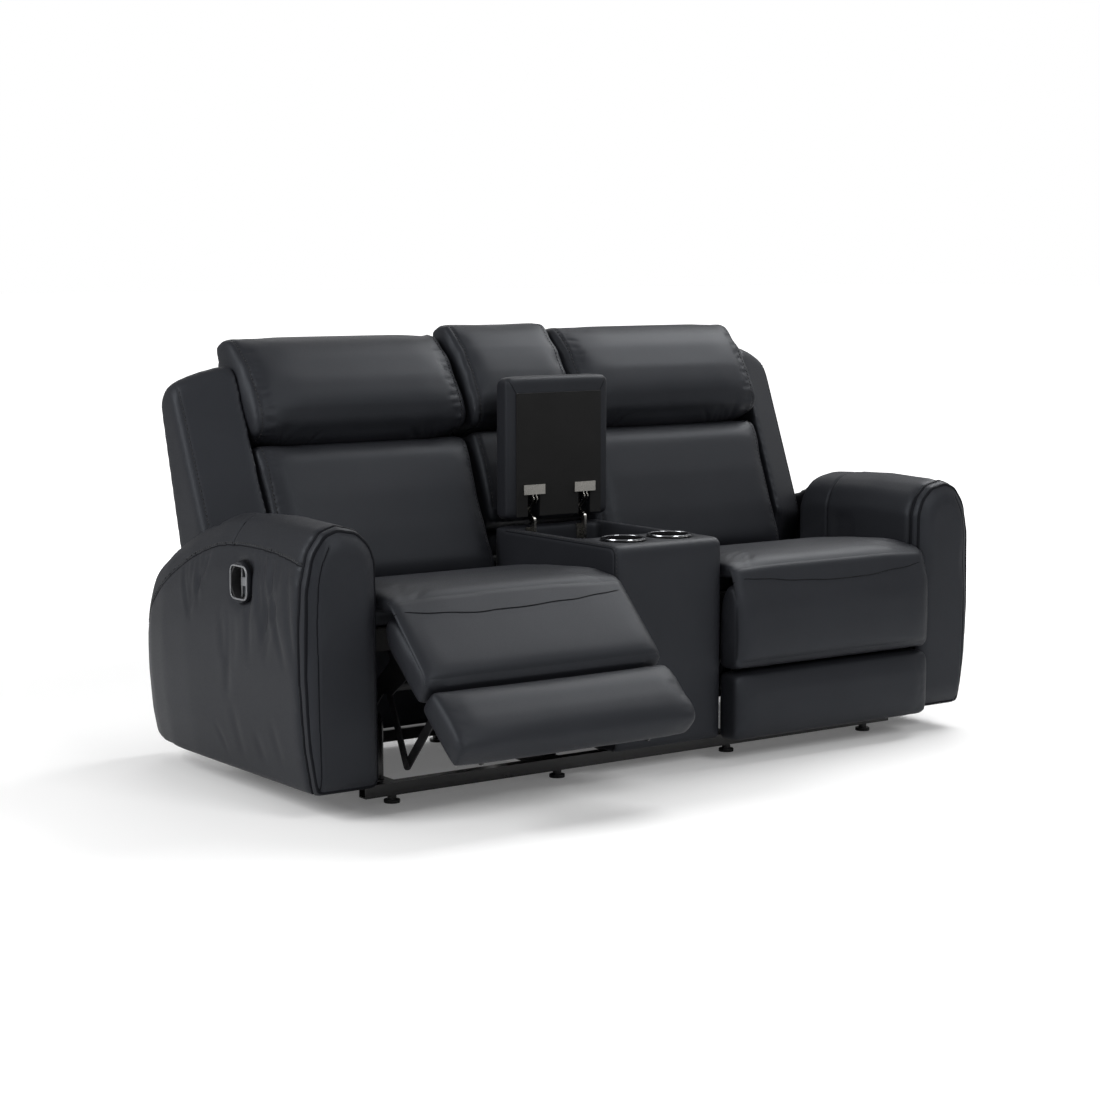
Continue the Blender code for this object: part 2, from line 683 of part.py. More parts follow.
def build_links(word, side, name, face, toward, rear, front):
    """A rear link hung from the side plate, and the front link from its elbow to the footrest."""
    hole = PIN_RADIUS + PIN_EASE
    through = (-PLATE, BRACKET_AT + PLATE)
    link = side_view(capsule(LINK_PIVOT.yz, ELBOW.yz, LINK_RADIUS), *layer(face, toward, REAR_LINK_AT, LINK))
    pin = stud(face, toward, ELBOW, REAR_LINK_AT + LINK / 2, BRACKET_AT + PIN_HEAD)
    head = stud(face, toward, ELBOW, BRACKET_AT, BRACKET_AT + PIN_HEAD, PIN_HEAD_RADIUS)
    join(
        f"{word}_rear_link_{name}", "black_steel", [link, pin, head],
        [stud(face, toward, LINK_PIVOT, *through, hole)], rear, side,
    )
    link = side_view(capsule(ELBOW.yz, HANGER.yz, LINK_RADIUS), *layer(face, toward, FRONT_LINK_AT, LINK))
    holes = [
        stud(face, toward, ELBOW, *through, hole), stud(face, toward, HANGER, *through, hole + PIN_EASE),
    ]
    join(f"{word}_front_link_{name}", "black_steel", [link], holes, front, side)


def build_footrest_frame(word, side, carrier):
    """Two hanger brackets behind the pads, tied by two bars, each with a stud for its front link."""
    eye, back = LINK_RADIUS, PAD_BACK + GAP
    corners = (
        (-eye, eye, 0.9 * eye), (-eye, -eye, 0.9 * eye), (back, -3 * eye, 0), (back, PAD_BOTTOM + eye, 0),
        (back + 2 * eye, PAD_BOTTOM + eye, eye), (back + 2 * eye, -HANGER_DROP - 4 * eye, eye),
        (HANGER_BACK + eye, -HANGER_DROP - eye, 0.9 * eye), (HANGER_BACK + eye, -HANGER_DROP + eye, 0.9 * eye),
        (back + eye, -4 * eye, eye), (back, 0, eye), (eye, eye, 0),
    )
    outline = [HINGE.yz + point for point in rounded(corners, 3)]
    solids, holes, ends = [], [], []
    for face, toward in STACKS:
        span = layer(face, toward, BRACKET_AT, PLATE)
        ends.append(sum(span) / 2)
        solids.append(side_view(outline, *span))
        solids.append(stud(face, toward, HANGER, REAR_LINK_AT, BRACKET_AT + PLATE / 2))
        solids.append(stud(face, toward, HANGER, REAR_LINK_AT, REAR_LINK_AT + PIN_HEAD, PIN_HEAD_RADIUS))
        holes.append(stud(face, toward, HINGE, REAR_LINK_AT, BRACKET_AT + 2 * PLATE, PIN_RADIUS + PIN_EASE))
    for drop in CROSS_BAR_DROPS:
        y, z = HINGE.y + back, HINGE.z - drop
        solids.append(box(
            (min(ends), y, z - CROSS_BAR_WIDTH / 2), (max(ends), y + CROSS_BAR_THICK, z + CROSS_BAR_WIDTH / 2),
        ))
    join(f"{word}_footrest_frame", "black_steel", solids, holes, carrier, side)


# Soft parts of a seat, as shares of each pad's length and crown
FACE_SHARES = ((0.02, 0), (0.14, 0.5), (0.34, 0.92), (0.6, 1), (0.84, 0.6), (0.98, 0))
PAD_FACE_SHARES = ((0.14, 0.3), (0.34, 0.85), (0.6, 1), (0.84, 0.6), (0.98, 0))
SEAT_TOP_SHARES = (
    (0, 0.2), (0.012, 0.6), (0.06, 0.88), (0.2, 1), (0.42, 0.86), (0.66, 0.55), (0.86, 0.18), (1, 0),
)


def build_pads(word, side, carrier):
    face = [HINGE.yz + Vector((-PAD_FRONT - bulge * PAD_BULGE, PAD_TOP - along * UPPER_PAD))
            for along, bulge in PAD_FACE_SHARES]
    upper = [HINGE.yz + PAD_TOP * Vector(spot) for spot in ((0.7, 0.7), (0, 1), (-0.75, 0.7), (-1.05, 0))]
    upper += face
    upper += [
        HINGE.yz + Vector((-PAD_FRONT + SEAM, PAD_TOP - UPPER_PAD)),
        HINGE.yz + Vector((PAD_BACK, PAD_TOP - UPPER_PAD)), HINGE.yz + Vector((PAD_BACK, -PAD_TOP)),
    ]
    notches = []
    for plate_face, toward in STACKS:
        start, end = layer(
            plate_face, toward, -PLATE - NOTCH_EASE, BRACKET_AT + 2 * PLATE + PIN_HEAD + 2 * NOTCH_EASE,
        )
        notches.append(box(
            (start, HINGE.y - NOTCH_FRONT, HINGE.z - NOTCH_DROP),
            (end, HINGE.y + PAD_BACK + OVERRUN, HINGE.z + PAD_TOP + OVERRUN),
        ))
    pad = puffed(upper, SEAT_IN, SEAT_OUT, PAD_BULGE)
    join(f"{word}_footrest_upper_pad", "leather", [pad], notches, carrier, side)
    top = PAD_TOP - UPPER_PAD - SEAM
    lower = [HINGE.yz + Vector((PAD_BACK, top)), HINGE.yz + Vector((-PAD_FRONT + SEAM, top))]
    lower += [HINGE.yz + Vector((-PAD_FRONT - bulge * PAD_BULGE, top - along * LOWER_PAD))
              for along, bulge in FACE_SHARES]
    lower += [
        HINGE.yz + Vector((-PAD_FRONT / 2, PAD_BOTTOM - SEAM)), HINGE.yz + Vector((PAD_BACK, PAD_BOTTOM)),
    ]
    join(f"{word}_footrest_lower_pad", "leather", [puffed(lower, SEAT_IN, SEAT_OUT, PAD_BULGE)], (), carrier, side)


def build_seat_cushion(word, side, carrier):
    lip = HINGE.z + PAD_TOP + SEAT_LIP_EASE
    front, rear = FRONT - SEAT_LIP, FRONT + SEAT_REAR
    outline = [Vector((front + SEAM, lip))]
    outline += [Vector((front + along * (rear - front), lip + up * (SEAT_CROWN - lip)))
                for along, up in SEAT_TOP_SHARES]
    outline += [
        Vector((rear, FRAME_TOP + GAP)), Vector((NECK_REAR + EASE, FRAME_TOP + GAP)), Vector((NECK_REAR + EASE, lip)),
    ]
    join(f"{word}_seat_cushion", "leather", [puffed(outline, SEAT_IN, SEAT_OUT, SEAT_DRAW)], (), carrier, side)


def build_seat_frame(word, side, carrier):
    """A board frame with cross slats under the cushion."""
    front, rear = NECK_REAR + GAP, FRONT + SEAT_REAR - EASE
    bays = FRAME_SLATS + 1
    clear = SEAT_OUT - SEAT_IN - 2 * FRAME_RAIL - FRAME_SLATS * SLAT_WIDTH
    cutters = []
    for bay in range(bays):
        start = SEAT_IN + FRAME_RAIL + bay * (clear / bays + SLAT_WIDTH)
        cutters.append(box(
            (start, front + FRAME_RAIL, FRAME_BOTTOM - OVERRUN),
            (start + clear / bays, rear - FRAME_RAIL, FRAME_TOP + OVERRUN),
        ))
    frame = box((SEAT_IN, front, FRAME_BOTTOM), (SEAT_OUT, rear, FRAME_TOP))
    join(f"{word}_seat_frame", "board", [frame], cutters, carrier, side)


def build_back(word, side, carrier):
    bulge = PILLOW_FRONT
    length = PILLOW_START - SEAM - BACK_START
    rear = BACK_THICK + GAP
    low = [tilted(BACK_START + along * length, -up * bulge) for along, up in FACE_SHARES]
    low += [tilted(BACK_START + length, BACK_THICK / 4), tilted(BACK_START + length, BACK_THICK),
            tilted(2 * LUG_RADIUS, BACK_THICK), tilted(BACK_START, BACK_THICK / 2)]
    join(f"{word}_back_cushion", "leather", [puffed(low, CUSHION_IN, CUSHION_OUT, BACK_DRAW)], (), carrier, side)
    join(f"{word}_head_pillow", "leather",
         [puffed(pillow_outline(PILLOW_TOP), CUSHION_IN, CUSHION_OUT, BACK_DRAW)], (), carrier, side)
    panel = leaning((
        (SHELL_START, rear, 0), (SHELL_START, rear + SHELL_THICK, SHELL_THICK / 4),
        (SHELL_TOP, rear + SHELL_THICK, SHELL_THICK / 2), (SHELL_TOP, rear, 0),
    ))
    bridge = leaning((
        (WING_START, rear + SHELL_EASE, 0), (WING_START, rear + SHELL_THICK - SHELL_EASE, 0),
        (WING_TOP - SHELL_THICK, rear + SHELL_THICK - SHELL_EASE, 0), (WING_TOP - SHELL_THICK, rear + SHELL_EASE, 0),
    ))
    wings = []
    for across, fall in zip(PUFF_SHARES, WING_FALL_SHARES):
        top, front = WING_TOP - fall * WING_FALL, across * WING_SWEEP - WING_FRONT
        wings.append(leaning((
            (WING_START, front, WING_FRONT), (WING_FOOT_START, front + WING_FOOT_FRONT, WING_BACK / 4),
            (WING_FOOT_START, WING_FOOT_BACK, WING_BACK / 4),
            (top, WING_BACK, WING_BACK / 4), (top, front + WING_FRONT, WING_BACK / 4),
        ), 4))
    wing_in = CUSHION_OUT + EASE
    panel_out = max(wing_in, OUTER_PLATE_X + 2 * PLATE + GAP) + FRAME_RAIL / 3
    solids = [
        side_view(panel, CUSHION_IN, CUSHION_OUT - SHELL_THICK / 2),
        side_view(bridge, CUSHION_OUT - SHELL_THICK, panel_out),
        puffed(wings[0], wing_in, wing_in + WING_WIDTH, BACK_DRAW, wings),
    ]
    holes = []
    end = tilted(LUG_REACH - RECLINE_BELOW, RECLINE_BEHIND + LUG_RISE)
    for face, toward in STACKS:
        solids.append(side_view(capsule(RECLINE.yz, end, LUG_RADIUS), *layer(face, toward, OUTSIDE_AT - PLATE, PLATE)))
        holes.append(stud(face, toward, RECLINE, -3 * PLATE, PLATE, PIN_RADIUS + PIN_EASE))
    join(f"{word}_back_shell", "leather", solids, holes, carrier, side)


def pillow_outline(top):
    """A head pillow that hangs over the cushion under it."""
    high = top - PILLOW_START
    roll, rear = PILLOW_ROLL, BACK_THICK
    spots = (
        (0, 0.35 * rear), (0, -0.1 * roll), (0.02, -0.55 * roll), (0.09, -0.95 * roll), (0.25, -1.05 * roll),
        (0.45, -0.95 * roll), (0.68, -0.45 * roll), (0.86, 0.35 * roll), (0.96, 0.3 * rear), (1, 0.6 * rear),
        (0.985, rear),
    )
    points = [tilted(PILLOW_START + along * high, back) for along, back in spots]
    return points + [tilted(PILLOW_START, rear)]


def build_seat(word, side, recline, footrest):
    slide = GLIDE_RATIO * recline
    glide = pivot(f"{word}_glide", (0, 0, 0), None, 0, slide)
    back = pivot(f"{word}_recline_pivot", RECLINE, glide, recline)
    rest = pivot(f"{word}_footrest_pivot", HINGE, glide, footrest)
    rear = pivot(f"{word}_rear_link_pivot", LINK_PIVOT, glide, footrest)
    front = pivot(f"{word}_front_link_pivot", ELBOW, rear, -footrest)
    for name, (face, toward) in zip(("outer", "inner"), STACKS):
        build_side_plate(word, side, name, face, toward, glide)
        build_links(word, side, name, face, toward, rear, front)
    ends = [layer(face, toward, FRONT_LINK_AT, 0)[0] for face, toward in STACKS]
    tube = bar(LINK_PIVOT, TORQUE_RADIUS, min(ends), max(ends))
    bore = bar(LINK_PIVOT, TORQUE_RADIUS - TORQUE_WALL, min(ends) - OVERRUN, max(ends) + OVERRUN)
    join(f"{word}_torque_tube", "black_steel", [tube], [bore], rear, side)
    build_footrest_frame(word, side, rest)
    build_pads(word, side, rest)
    build_seat_frame(word, side, glide)
    build_seat_cushion(word, side, glide)
    build_back(word, side, back)


# Console
def build_console():
    front, rear = FRONT - CONSOLE_FRONT, FRONT + CONSOLE_REAR
    deck_low = CONSOLE_TOP - DECK_THICK
    deck_rear = FRONT + DECK_REAR
    outline = rounded((
        (front, FLOOR_CLEARANCE, CONSOLE_EDGE / 3), (rear, FLOOR_CLEARANCE, 0), (rear, CONSOLE_TOP, 0),
        (deck_rear + GAP, CONSOLE_TOP, 0), (deck_rear + GAP, deck_low - GAP, 0), (front, deck_low - GAP, 0),
    ))
    cleats = [
        box((-CONSOLE_HALF + CONSOLE_WALL, FRONT + depth - RAIL / 2, RAIL_TOP + GAP),
            (CONSOLE_HALF - CONSOLE_WALL, min(FRONT + depth + RAIL / 2, rear), FLOOR_CLEARANCE + CONSOLE_WALL))
        for depth in (FRONT_RAIL_DEPTH,)
    ]
    between = LID_HALF - POST_WIDTH - EASE
    cleats.append(box(
        (-between, rear - CONSOLE_WALL, RAIL_TOP + GAP),
        (between, FRONT + REAR_RAIL_DEPTH + RAIL / 2, FLOOR_CLEARANCE + CONSOLE_WALL),
    ))
    side = CONSOLE_HALF - CONSOLE_WALL
    bays = [
        box((-side, front + CONSOLE_WALL, deck_low - CUP_DEEP - OVERRUN),
            (side, deck_rear - CONSOLE_WALL / 2, CONSOLE_TOP + OVERRUN)),
        box((-CONSOLE_HALF + WELL_SIDE, deck_rear + CONSOLE_WALL, WELL_FLOOR),
            (CONSOLE_HALF - WELL_SIDE, FRONT + WELL_REAR, CONSOLE_TOP + OVERRUN)),
    ]
    join("console_box", "leather", [side_view(outline, -CONSOLE_HALF, CONSOLE_HALF), *cleats], bays)
    outline = rounded((
        (front, deck_low, 0), (deck_rear, deck_low, 0), (deck_rear, CONSOLE_TOP, SEAM),
        (front, CONSOLE_TOP, CONSOLE_EDGE * 0.8),
    ))
    cup_y = FRONT + CUP_DEPTH
    holes = [
        upright((s * CUP_X, cup_y), CUP_RADIUS + GAP, deck_low - OVERRUN, CONSOLE_TOP + OVERRUN, CUP_SIDES)
        for s in (-1, 1)
    ]
    join("console_deck", "leather", [side_view(outline, -CONSOLE_HALF, CONSOLE_HALF)], holes)
    for s, word in ((-1, "left"), (1, "right")):
        build_cup(word, Vector((s * CUP_X, cup_y)))
    build_console_back()
    build_lid()


def build_cup(word, centre):
    """A thin cup with a flange that rests on the deck."""
    rest = CONSOLE_TOP + GAP
    low = rest - CUP_DEEP
    rings = (
        (CUP_RADIUS - CUP_TAPER, low), (CUP_RADIUS, rest), (CUP_FLANGE, rest),
        (CUP_FLANGE, rest + CUP_FLANGE_THICK / 2), (CUP_FLANGE - CUP_FLANGE_THICK, rest + CUP_FLANGE_THICK),
        (CUP_RADIUS - CUP_WALL, rest + CUP_FLANGE_THICK), (CUP_RADIUS - CUP_TAPER - CUP_WALL, low + CUP_WALL),
    )
    loops = [[Vector((*point, z)) for point in circle(centre, radius, CUP_SIDES)] for radius, z in rings]
    join(f"cup_holder_{word}", "black_plastic", [loft(loops)])


def build_console_back():
    start, length = CONSOLE_BACK_START, PILLOW_START - SEAM - CONSOLE_BACK_START
    thick = CONSOLE_BACK_THICK
    outline = [tilted(start + along * length, -up * PILLOW_FRONT) for along, up in FACE_SHARES]
    outline += [tilted(start + length, BACK_THICK), tilted(start + length, thick), tilted(start, thick)]
    rear = BACK_THICK + GAP
    panel = leaning((
        (CONSOLE_PANEL_START, rear, 0), (CONSOLE_PANEL_START, rear + SHELL_THICK, SHELL_THICK / 4),
        (SHELL_TOP, rear + SHELL_THICK, SHELL_THICK / 2), (SHELL_TOP, rear, 0),
    ))
    post_y = FRONT + REAR_RAIL_DEPTH
    post_top = max(CONSOLE_TOP + CONSOLE_EDGE, height_over(post_y + POST_THICK / 2, rear + SHELL_THICK / 2))
    posts = [
        box((s * LID_HALF - max(s, 0) * POST_WIDTH, post_y - POST_THICK / 2, RAIL_TOP + GAP),
            (s * LID_HALF + max(-s, 0) * POST_WIDTH, post_y + POST_THICK / 2, post_top))
        for s in (-1, 1)
    ]
    cushion = puffed(outline, -LID_HALF, LID_HALF, BACK_DRAW / 2)
    join("console_back", "leather", [cushion, side_view(panel, -LID_HALF - SEAM, LID_HALF + SEAM), *posts])
    join("console_pillow", "leather", [puffed(pillow_outline(CONSOLE_PILLOW_TOP), -LID_HALF, LID_HALF, BACK_DRAW / 2)])


def build_lid():
    carrier = pivot("console_lid_pivot", LID_AXIS)
    face, top = FRONT + LID_FACE, LID_START + LID_LENGTH
    outline = rounded((
        (face, LID_START, LID_EDGE), (face + LID_THICK, LID_START, LID_EDGE),
        (face + LID_THICK, top, 2 * LID_EDGE), (face, top, LID_EDGE),
    ))
    notch_top = LID_START + LID_CUP_HIGH

    def notches(rear):
        return [
            box((s * LID_HINGE_X - LID_CUP_WIDTH / 2, face - OVERRUN, LID_START - OVERRUN),
                (s * LID_HINGE_X + LID_CUP_WIDTH / 2, rear, notch_top))
            for s in (-1, 1)
        ]

    cushion = puffed(outline, -LID_HALF, LID_HALF, LID_DRAW)
    join("lid_cushion", "leather", [cushion], notches(LID_AXIS.y + LID_EDGE + EASE), carrier)
    lining = box(
        (-LID_HALF + LINING_SIDE_MARGIN, face - GAP - LINING, LID_START + LID_EDGE),
        (LID_HALF - LINING_SIDE_MARGIN, face - GAP, top - LINING_TOP_MARGIN),
    )
    join("lid_lining", "black_fabric", [lining], notches(face + OVERRUN), carrier)
    for s, word in ((-1, "left"), (1, "right")):
        build_lid_hinge(word, s * LID_HINGE_X, face, notch_top, carrier)


def build_lid_hinge(word, x, face, notch_top, carrier):
    """A fixed arm that reaches up into the lid's recess, and ears and a plate on the lid."""
    wall = FRONT + WELL_REAR - GAP
    eye = LID_EDGE * 0.8
    knee = Vector((wall - EASE - eye, LID_START))
    foot_spot = Vector((knee.x, CONSOLE_TOP - LID_BASE_DROP / 2))
    arm = (x - LID_HINGE_ARM / 2, x + LID_HINGE_ARM / 2)
    solids = [
        box((x - LID_BASE_WIDTH / 2, wall - EASE, CONSOLE_TOP - LID_BASE_DROP),
            (x + LID_BASE_WIDTH / 2, wall, CONSOLE_TOP - EASE)),
        box((arm[0], foot_spot.x, foot_spot.y - eye), (arm[1], wall - EASE / 2, CONSOLE_TOP - EASE)),
        side_view(capsule(foot_spot, knee, eye), *arm), side_view(capsule(knee, LID_AXIS.yz, eye), *arm),
    ]
    hole = bar(LID_AXIS, LID_PIN_RADIUS + PIN_EASE, arm[0] - OVERRUN, arm[1] + OVERRUN, SIDES)
    join(f"lid_hinge_base_{word}", "nickel", solids, [hole])
    front = face - LINING - 2 * GAP
    plate = box(
        (x - LID_PLATE_WIDTH / 2, front - EASE, notch_top + GAP),
        (x + LID_PLATE_WIDTH / 2, front, notch_top + LID_PLATE_HIGH),
    )
    solids = [plate]
    for s in (-1, 1):
        near = x + s * (LID_HINGE_ARM / 2 + GAP)
        span = sorted((near, near + s * LID_EAR))
        reach = Vector((front - EASE / 2, notch_top - LID_EDGE))
        solids.append(side_view(capsule(LID_AXIS.yz, reach, 2 * LID_PIN_RADIUS), *span))
        solids.append(box((span[0], front - EASE, notch_top - LID_EDGE), (span[1], front, notch_top + LID_EDGE)))
    outer = LID_HINGE_ARM / 2 + GAP + LID_EAR
    solids.append(bar(LID_AXIS, LID_PIN_RADIUS, x - outer + GAP, x + outer - GAP))
    join(f"lid_hinge_arm_{word}", "nickel", solids, (), carrier)


def main():
    clear_scene()
    build_base()
    for side, word in ((-1, "left"), (1, "right")):
        build_arm(side, word)
    build_seat("left", -1, LEFT_RECLINE, LEFT_FOOTREST)
    build_seat("right", 1, 0, 0)
    build_console()


main()
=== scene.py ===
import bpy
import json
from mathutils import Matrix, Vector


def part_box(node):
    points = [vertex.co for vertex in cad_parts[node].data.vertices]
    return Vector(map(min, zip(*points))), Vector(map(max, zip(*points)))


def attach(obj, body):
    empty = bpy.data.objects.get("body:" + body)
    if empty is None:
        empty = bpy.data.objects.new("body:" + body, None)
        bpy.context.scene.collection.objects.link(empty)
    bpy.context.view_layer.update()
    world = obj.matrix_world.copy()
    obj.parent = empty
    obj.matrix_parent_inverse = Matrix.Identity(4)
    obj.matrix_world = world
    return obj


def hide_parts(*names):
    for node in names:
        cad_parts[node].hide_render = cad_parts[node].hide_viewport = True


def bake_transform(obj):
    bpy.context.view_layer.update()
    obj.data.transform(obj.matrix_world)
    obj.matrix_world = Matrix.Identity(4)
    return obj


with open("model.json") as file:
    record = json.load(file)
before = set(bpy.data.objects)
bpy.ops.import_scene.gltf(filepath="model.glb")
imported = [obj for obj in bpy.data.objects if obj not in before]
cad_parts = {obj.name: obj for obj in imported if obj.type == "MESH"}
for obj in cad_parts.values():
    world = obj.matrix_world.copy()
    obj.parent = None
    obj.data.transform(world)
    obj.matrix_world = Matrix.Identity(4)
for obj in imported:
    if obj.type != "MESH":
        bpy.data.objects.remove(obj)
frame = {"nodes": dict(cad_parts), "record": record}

"""Looks of a reclining loveseat with a storage console: charcoal leather, black steel and nickel.

The upholstery is stuffed over the frame's solids, then seams, channels, gathers and stitches
are worked into it. Metres, +Z up, front towards -Y.
"""

import json
import logging
import math
from dataclasses import dataclass, replace
from enum import Enum
from typing import Callable, Sequence

import bmesh
import bpy
import numpy as np
from mathutils import Euler, Matrix, Vector
from mathutils.bvhtree import BVHTree

logging.basicConfig(level=logging.INFO, format="%(message)s")
LOG = logging.getLogger("loveseat")

Point = tuple[float, float, float]
Share = tuple[float, float]
Rule = Callable[[np.ndarray, np.ndarray], np.ndarray]

BACK_FOOT = (0.1858, 0.425)
BACK_TILT = math.radians(20)
X_AXIS, Y_AXIS = Vector((1, 0, 0)), Vector((0, 1, 0))
CAST = 0.6
MERGE = 1e-5
SHARP = math.radians(40)
STITCH_OFF = 0.0003
STITCH_PROUD = 0.4
CORD_SINK = 0.3


class Way(Enum):
    """Directions in which a seam is laid onto a surface."""

    BACK = (0.0, 1.0, 0.0)
    DOWN = (0.0, 0.0, -1.0)
    FROM_LEFT = (1.0, 0.0, 0.0)
    FROM_RIGHT = (-1.0, 0.0, 0.0)


class Slot(Enum):
    """Names of two of the record's material slots; nothing here uses them."""

    LEATHER = "leather"
    PLASTIC = "black_plastic"


class Graph:
    """A small hand for wiring shader nodes."""

    def __init__(self, tree: bpy.types.NodeTree) -> None:
        """Starts on a tree.

        Args:
            tree: the node tree to add to.
        """
        self.tree = tree

    def add(self, kind: str, inputs: dict[str | int, object] | None = None, **settings: object) -> bpy.types.Node:
        """Adds a node.

        Args:
            kind: the node's type name.
            inputs: values for its inputs, or sockets to link to them, by name or number.
            settings: its attributes.

        Returns:
            The new node.
        """
        node = self.tree.nodes.new(kind)
        for key, value in settings.items():
            setattr(node, key, value)
        self.feed(node, inputs or {})
        return node

    def feed(self, node: bpy.types.Node, inputs: dict[str | int, object]) -> None:
        """Sets or links a node's inputs.

        Args:
            node: the node.
            inputs: values or sockets, by name or number.
        """
        for key, value in inputs.items():
            if isinstance(value, bpy.types.NodeSocket):
                self.tree.links.new(value, node.inputs[key])
            else:
                node.inputs[key].default_value = value

    def surface(self, shader: bpy.types.Node, tints: tuple[Sequence[float], Sequence[float]],
                factor: bpy.types.NodeSocket, rough: dict[str | int, object], bump: dict[str | int, object]) -> None:
        """Feeds a shader with a tint, an uneven gloss and a bump.

        Args:
            shader: a Principled BSDF.
            tints: the two colours.
            factor: the socket that mixes them.
            rough: inputs of the map range that gives the roughness.
            bump: inputs of the bump.
        """
        dark, light = ((*tint, 1) for tint in tints)
        tint = self.add("ShaderNodeMix", {"Factor": factor, "A": dark, "B": light}, data_type="RGBA")
        self.feed(shader, {
            "Base Color": tint.outputs["Result"],
            "Roughness": self.add("ShaderNodeMapRange", rough).outputs[0],
            "Normal": self.add("ShaderNodeBump", bump).outputs[0],
        })


def grain_group() -> bpy.types.NodeTree:
    """The pebbled grain of printed leather, shared by the leather finishes.

    Returns:
        A node group that takes the scales of its cells, pores and patches, and gives a height,
        a shade mask and a broad wear mask.
    """
    group = bpy.data.node_groups.get("leather_grain")
    if group:
        return group
    group = bpy.data.node_groups.new("leather_grain", "ShaderNodeTree")
    for way, names in (("INPUT", ("Cells", "Pores", "Patches")), ("OUTPUT", ("Height", "Shade", "Wear"))):
        for name in names:
            group.interface.new_socket(name=name, in_out=way, socket_type="NodeSocketFloat")
    graph = Graph(group)
    given = graph.add("NodeGroupInput").outputs
    place = graph.add("ShaderNodeTexCoord").outputs["Object"]
    warp = graph.add("ShaderNodeTexNoise", {"Vector": place, "Scale": 90.0, "Detail": 2.0})
    warped = graph.add("ShaderNodeVectorMath", {0: warp.outputs["Color"], 1: (0.003, 0.003, 0.003), 2: place},
                       operation="MULTIPLY_ADD")
    cells = graph.add("ShaderNodeTexVoronoi", {
        "Vector": warped.outputs[0], "Scale": given["Cells"], "Smoothness": 0.35,
    }, feature="SMOOTH_F1").outputs["Distance"]
    pores = graph.add("ShaderNodeTexNoise", {"Vector": place, "Scale": given["Pores"], "Detail": 3.0})
    broad = graph.add("ShaderNodeTexNoise", {
        "Vector": place, "Scale": given["Patches"], "Detail": 3.0, "Roughness": 0.55,
    })
    pits = graph.add("ShaderNodeMath", {0: pores.outputs["Fac"], 1: 0.35}, operation="MULTIPLY")
    height = graph.add("ShaderNodeMath", {0: cells, 1: pits.outputs[0]}, operation="ADD")
    shade = graph.add("ShaderNodeMapRange", {"Value": cells, "From Min": 0.0, "From Max": 0.8})
    wear = graph.add("ShaderNodeMapRange", {"Value": broad.outputs["Fac"], "From Min": 0.35, "From Max": 0.7})
    graph.add("NodeGroupOutput", {"Height": height.outputs[0], "Shade": shade.outputs[0], "Wear": wear.outputs[0]})
    return group


@dataclass(frozen=True)
class Finish:
    """A finish that turns into a material when it is first used."""

    name: str

    def wire(self, graph: Graph, shader: bpy.types.Node) -> None:
        """Adds the finish's nodes.

        Args:
            graph: the material's graph.
            shader: its Principled BSDF.
        """
        raise NotImplementedError

    def material(self) -> bpy.types.Material:
        """The finish as a material, made once."""
        made = bpy.data.materials.get(self.name)
        if not made:
            made = bpy.data.materials.new(self.name)
            made.use_nodes = True
            self.wire(Graph(made.node_tree), made.node_tree.nodes["Principled BSDF"])
        return made


@dataclass(frozen=True)
class Leather(Finish):
    """Printed upholstery leather."""

    name: str = "charcoal_leather"
    colour: Point = (0.0128, 0.0134, 0.0166)
    deep: Point = (0.0088, 0.0092, 0.0116)
    roughness: float = 0.50
    grain: float = 0.14
    specular: float = 0.32
    cool: Point = (0.86, 0.92, 1.0)
    cells: float = 620.0
    pores: float = 1500.0
    patches: float = 7.0

    def wire(self, graph: Graph, shader: bpy.types.Node) -> None:
        """Grain, worn tint and a cool, uneven gloss.

        Args:
            graph: the material's graph.
            shader: its Principled BSDF.
        """
        grain = graph.add("ShaderNodeGroup", node_tree=grain_group())
        graph.feed(grain, {"Cells": self.cells, "Pores": self.pores, "Patches": self.patches})
        graph.feed(shader, {"Specular IOR Level": self.specular, "Specular Tint": (*self.cool, 1)})
        worn = graph.add("ShaderNodeMath", {0: grain.outputs["Wear"], 1: 0.5, 2: 0.42}, operation="MULTIPLY_ADD")
        graph.surface(
            shader, (self.deep, self.colour), worn.outputs[0],
            {"Value": grain.outputs["Shade"], "To Min": self.roughness - 0.06, "To Max": self.roughness + 0.09},
            {"Height": grain.outputs["Height"], "Strength": self.grain, "Distance": 0.0006},
        )


@dataclass(frozen=True)
class Woven(Finish):
    """A plain woven cloth or thread."""

    colour: Point
    scale: float = 900.0
    roughness: float = 0.85
    bands: float = 6.3

    def wire(self, graph: Graph, shader: bpy.types.Node) -> None:
        """Crossed threads with broad patches.

        Args:
            graph: the material's graph.
            shader: its Principled BSDF.
        """
        graph.feed(shader, {"Specular IOR Level": 0.25, "Sheen Weight": 0.25})
        place = graph.add("ShaderNodeTexCoord").outputs["Object"]
        threads = {"Vector": place, "Scale": self.scale / self.bands, "Distortion": 0.4}
        warp, weft = (graph.add("ShaderNodeTexWave", threads, bands_direction=axis).outputs["Fac"] for axis in "XZ")
        both = graph.add("ShaderNodeMath", {0: warp, 1: weft}, operation="MULTIPLY")
        patch = graph.add("ShaderNodeTexNoise", {"Vector": place, "Scale": 14.0, "Detail": 3.0}).outputs["Fac"]
        graph.surface(
            shader, ([0.65 * c for c in self.colour], [1.3 * c for c in self.colour]), patch,
            {"Value": patch, "To Min": self.roughness - 0.1, "To Max": self.roughness + 0.1},
            {"Height": both.outputs[0], "Strength": 0.3, "Distance": 0.0004},
        )


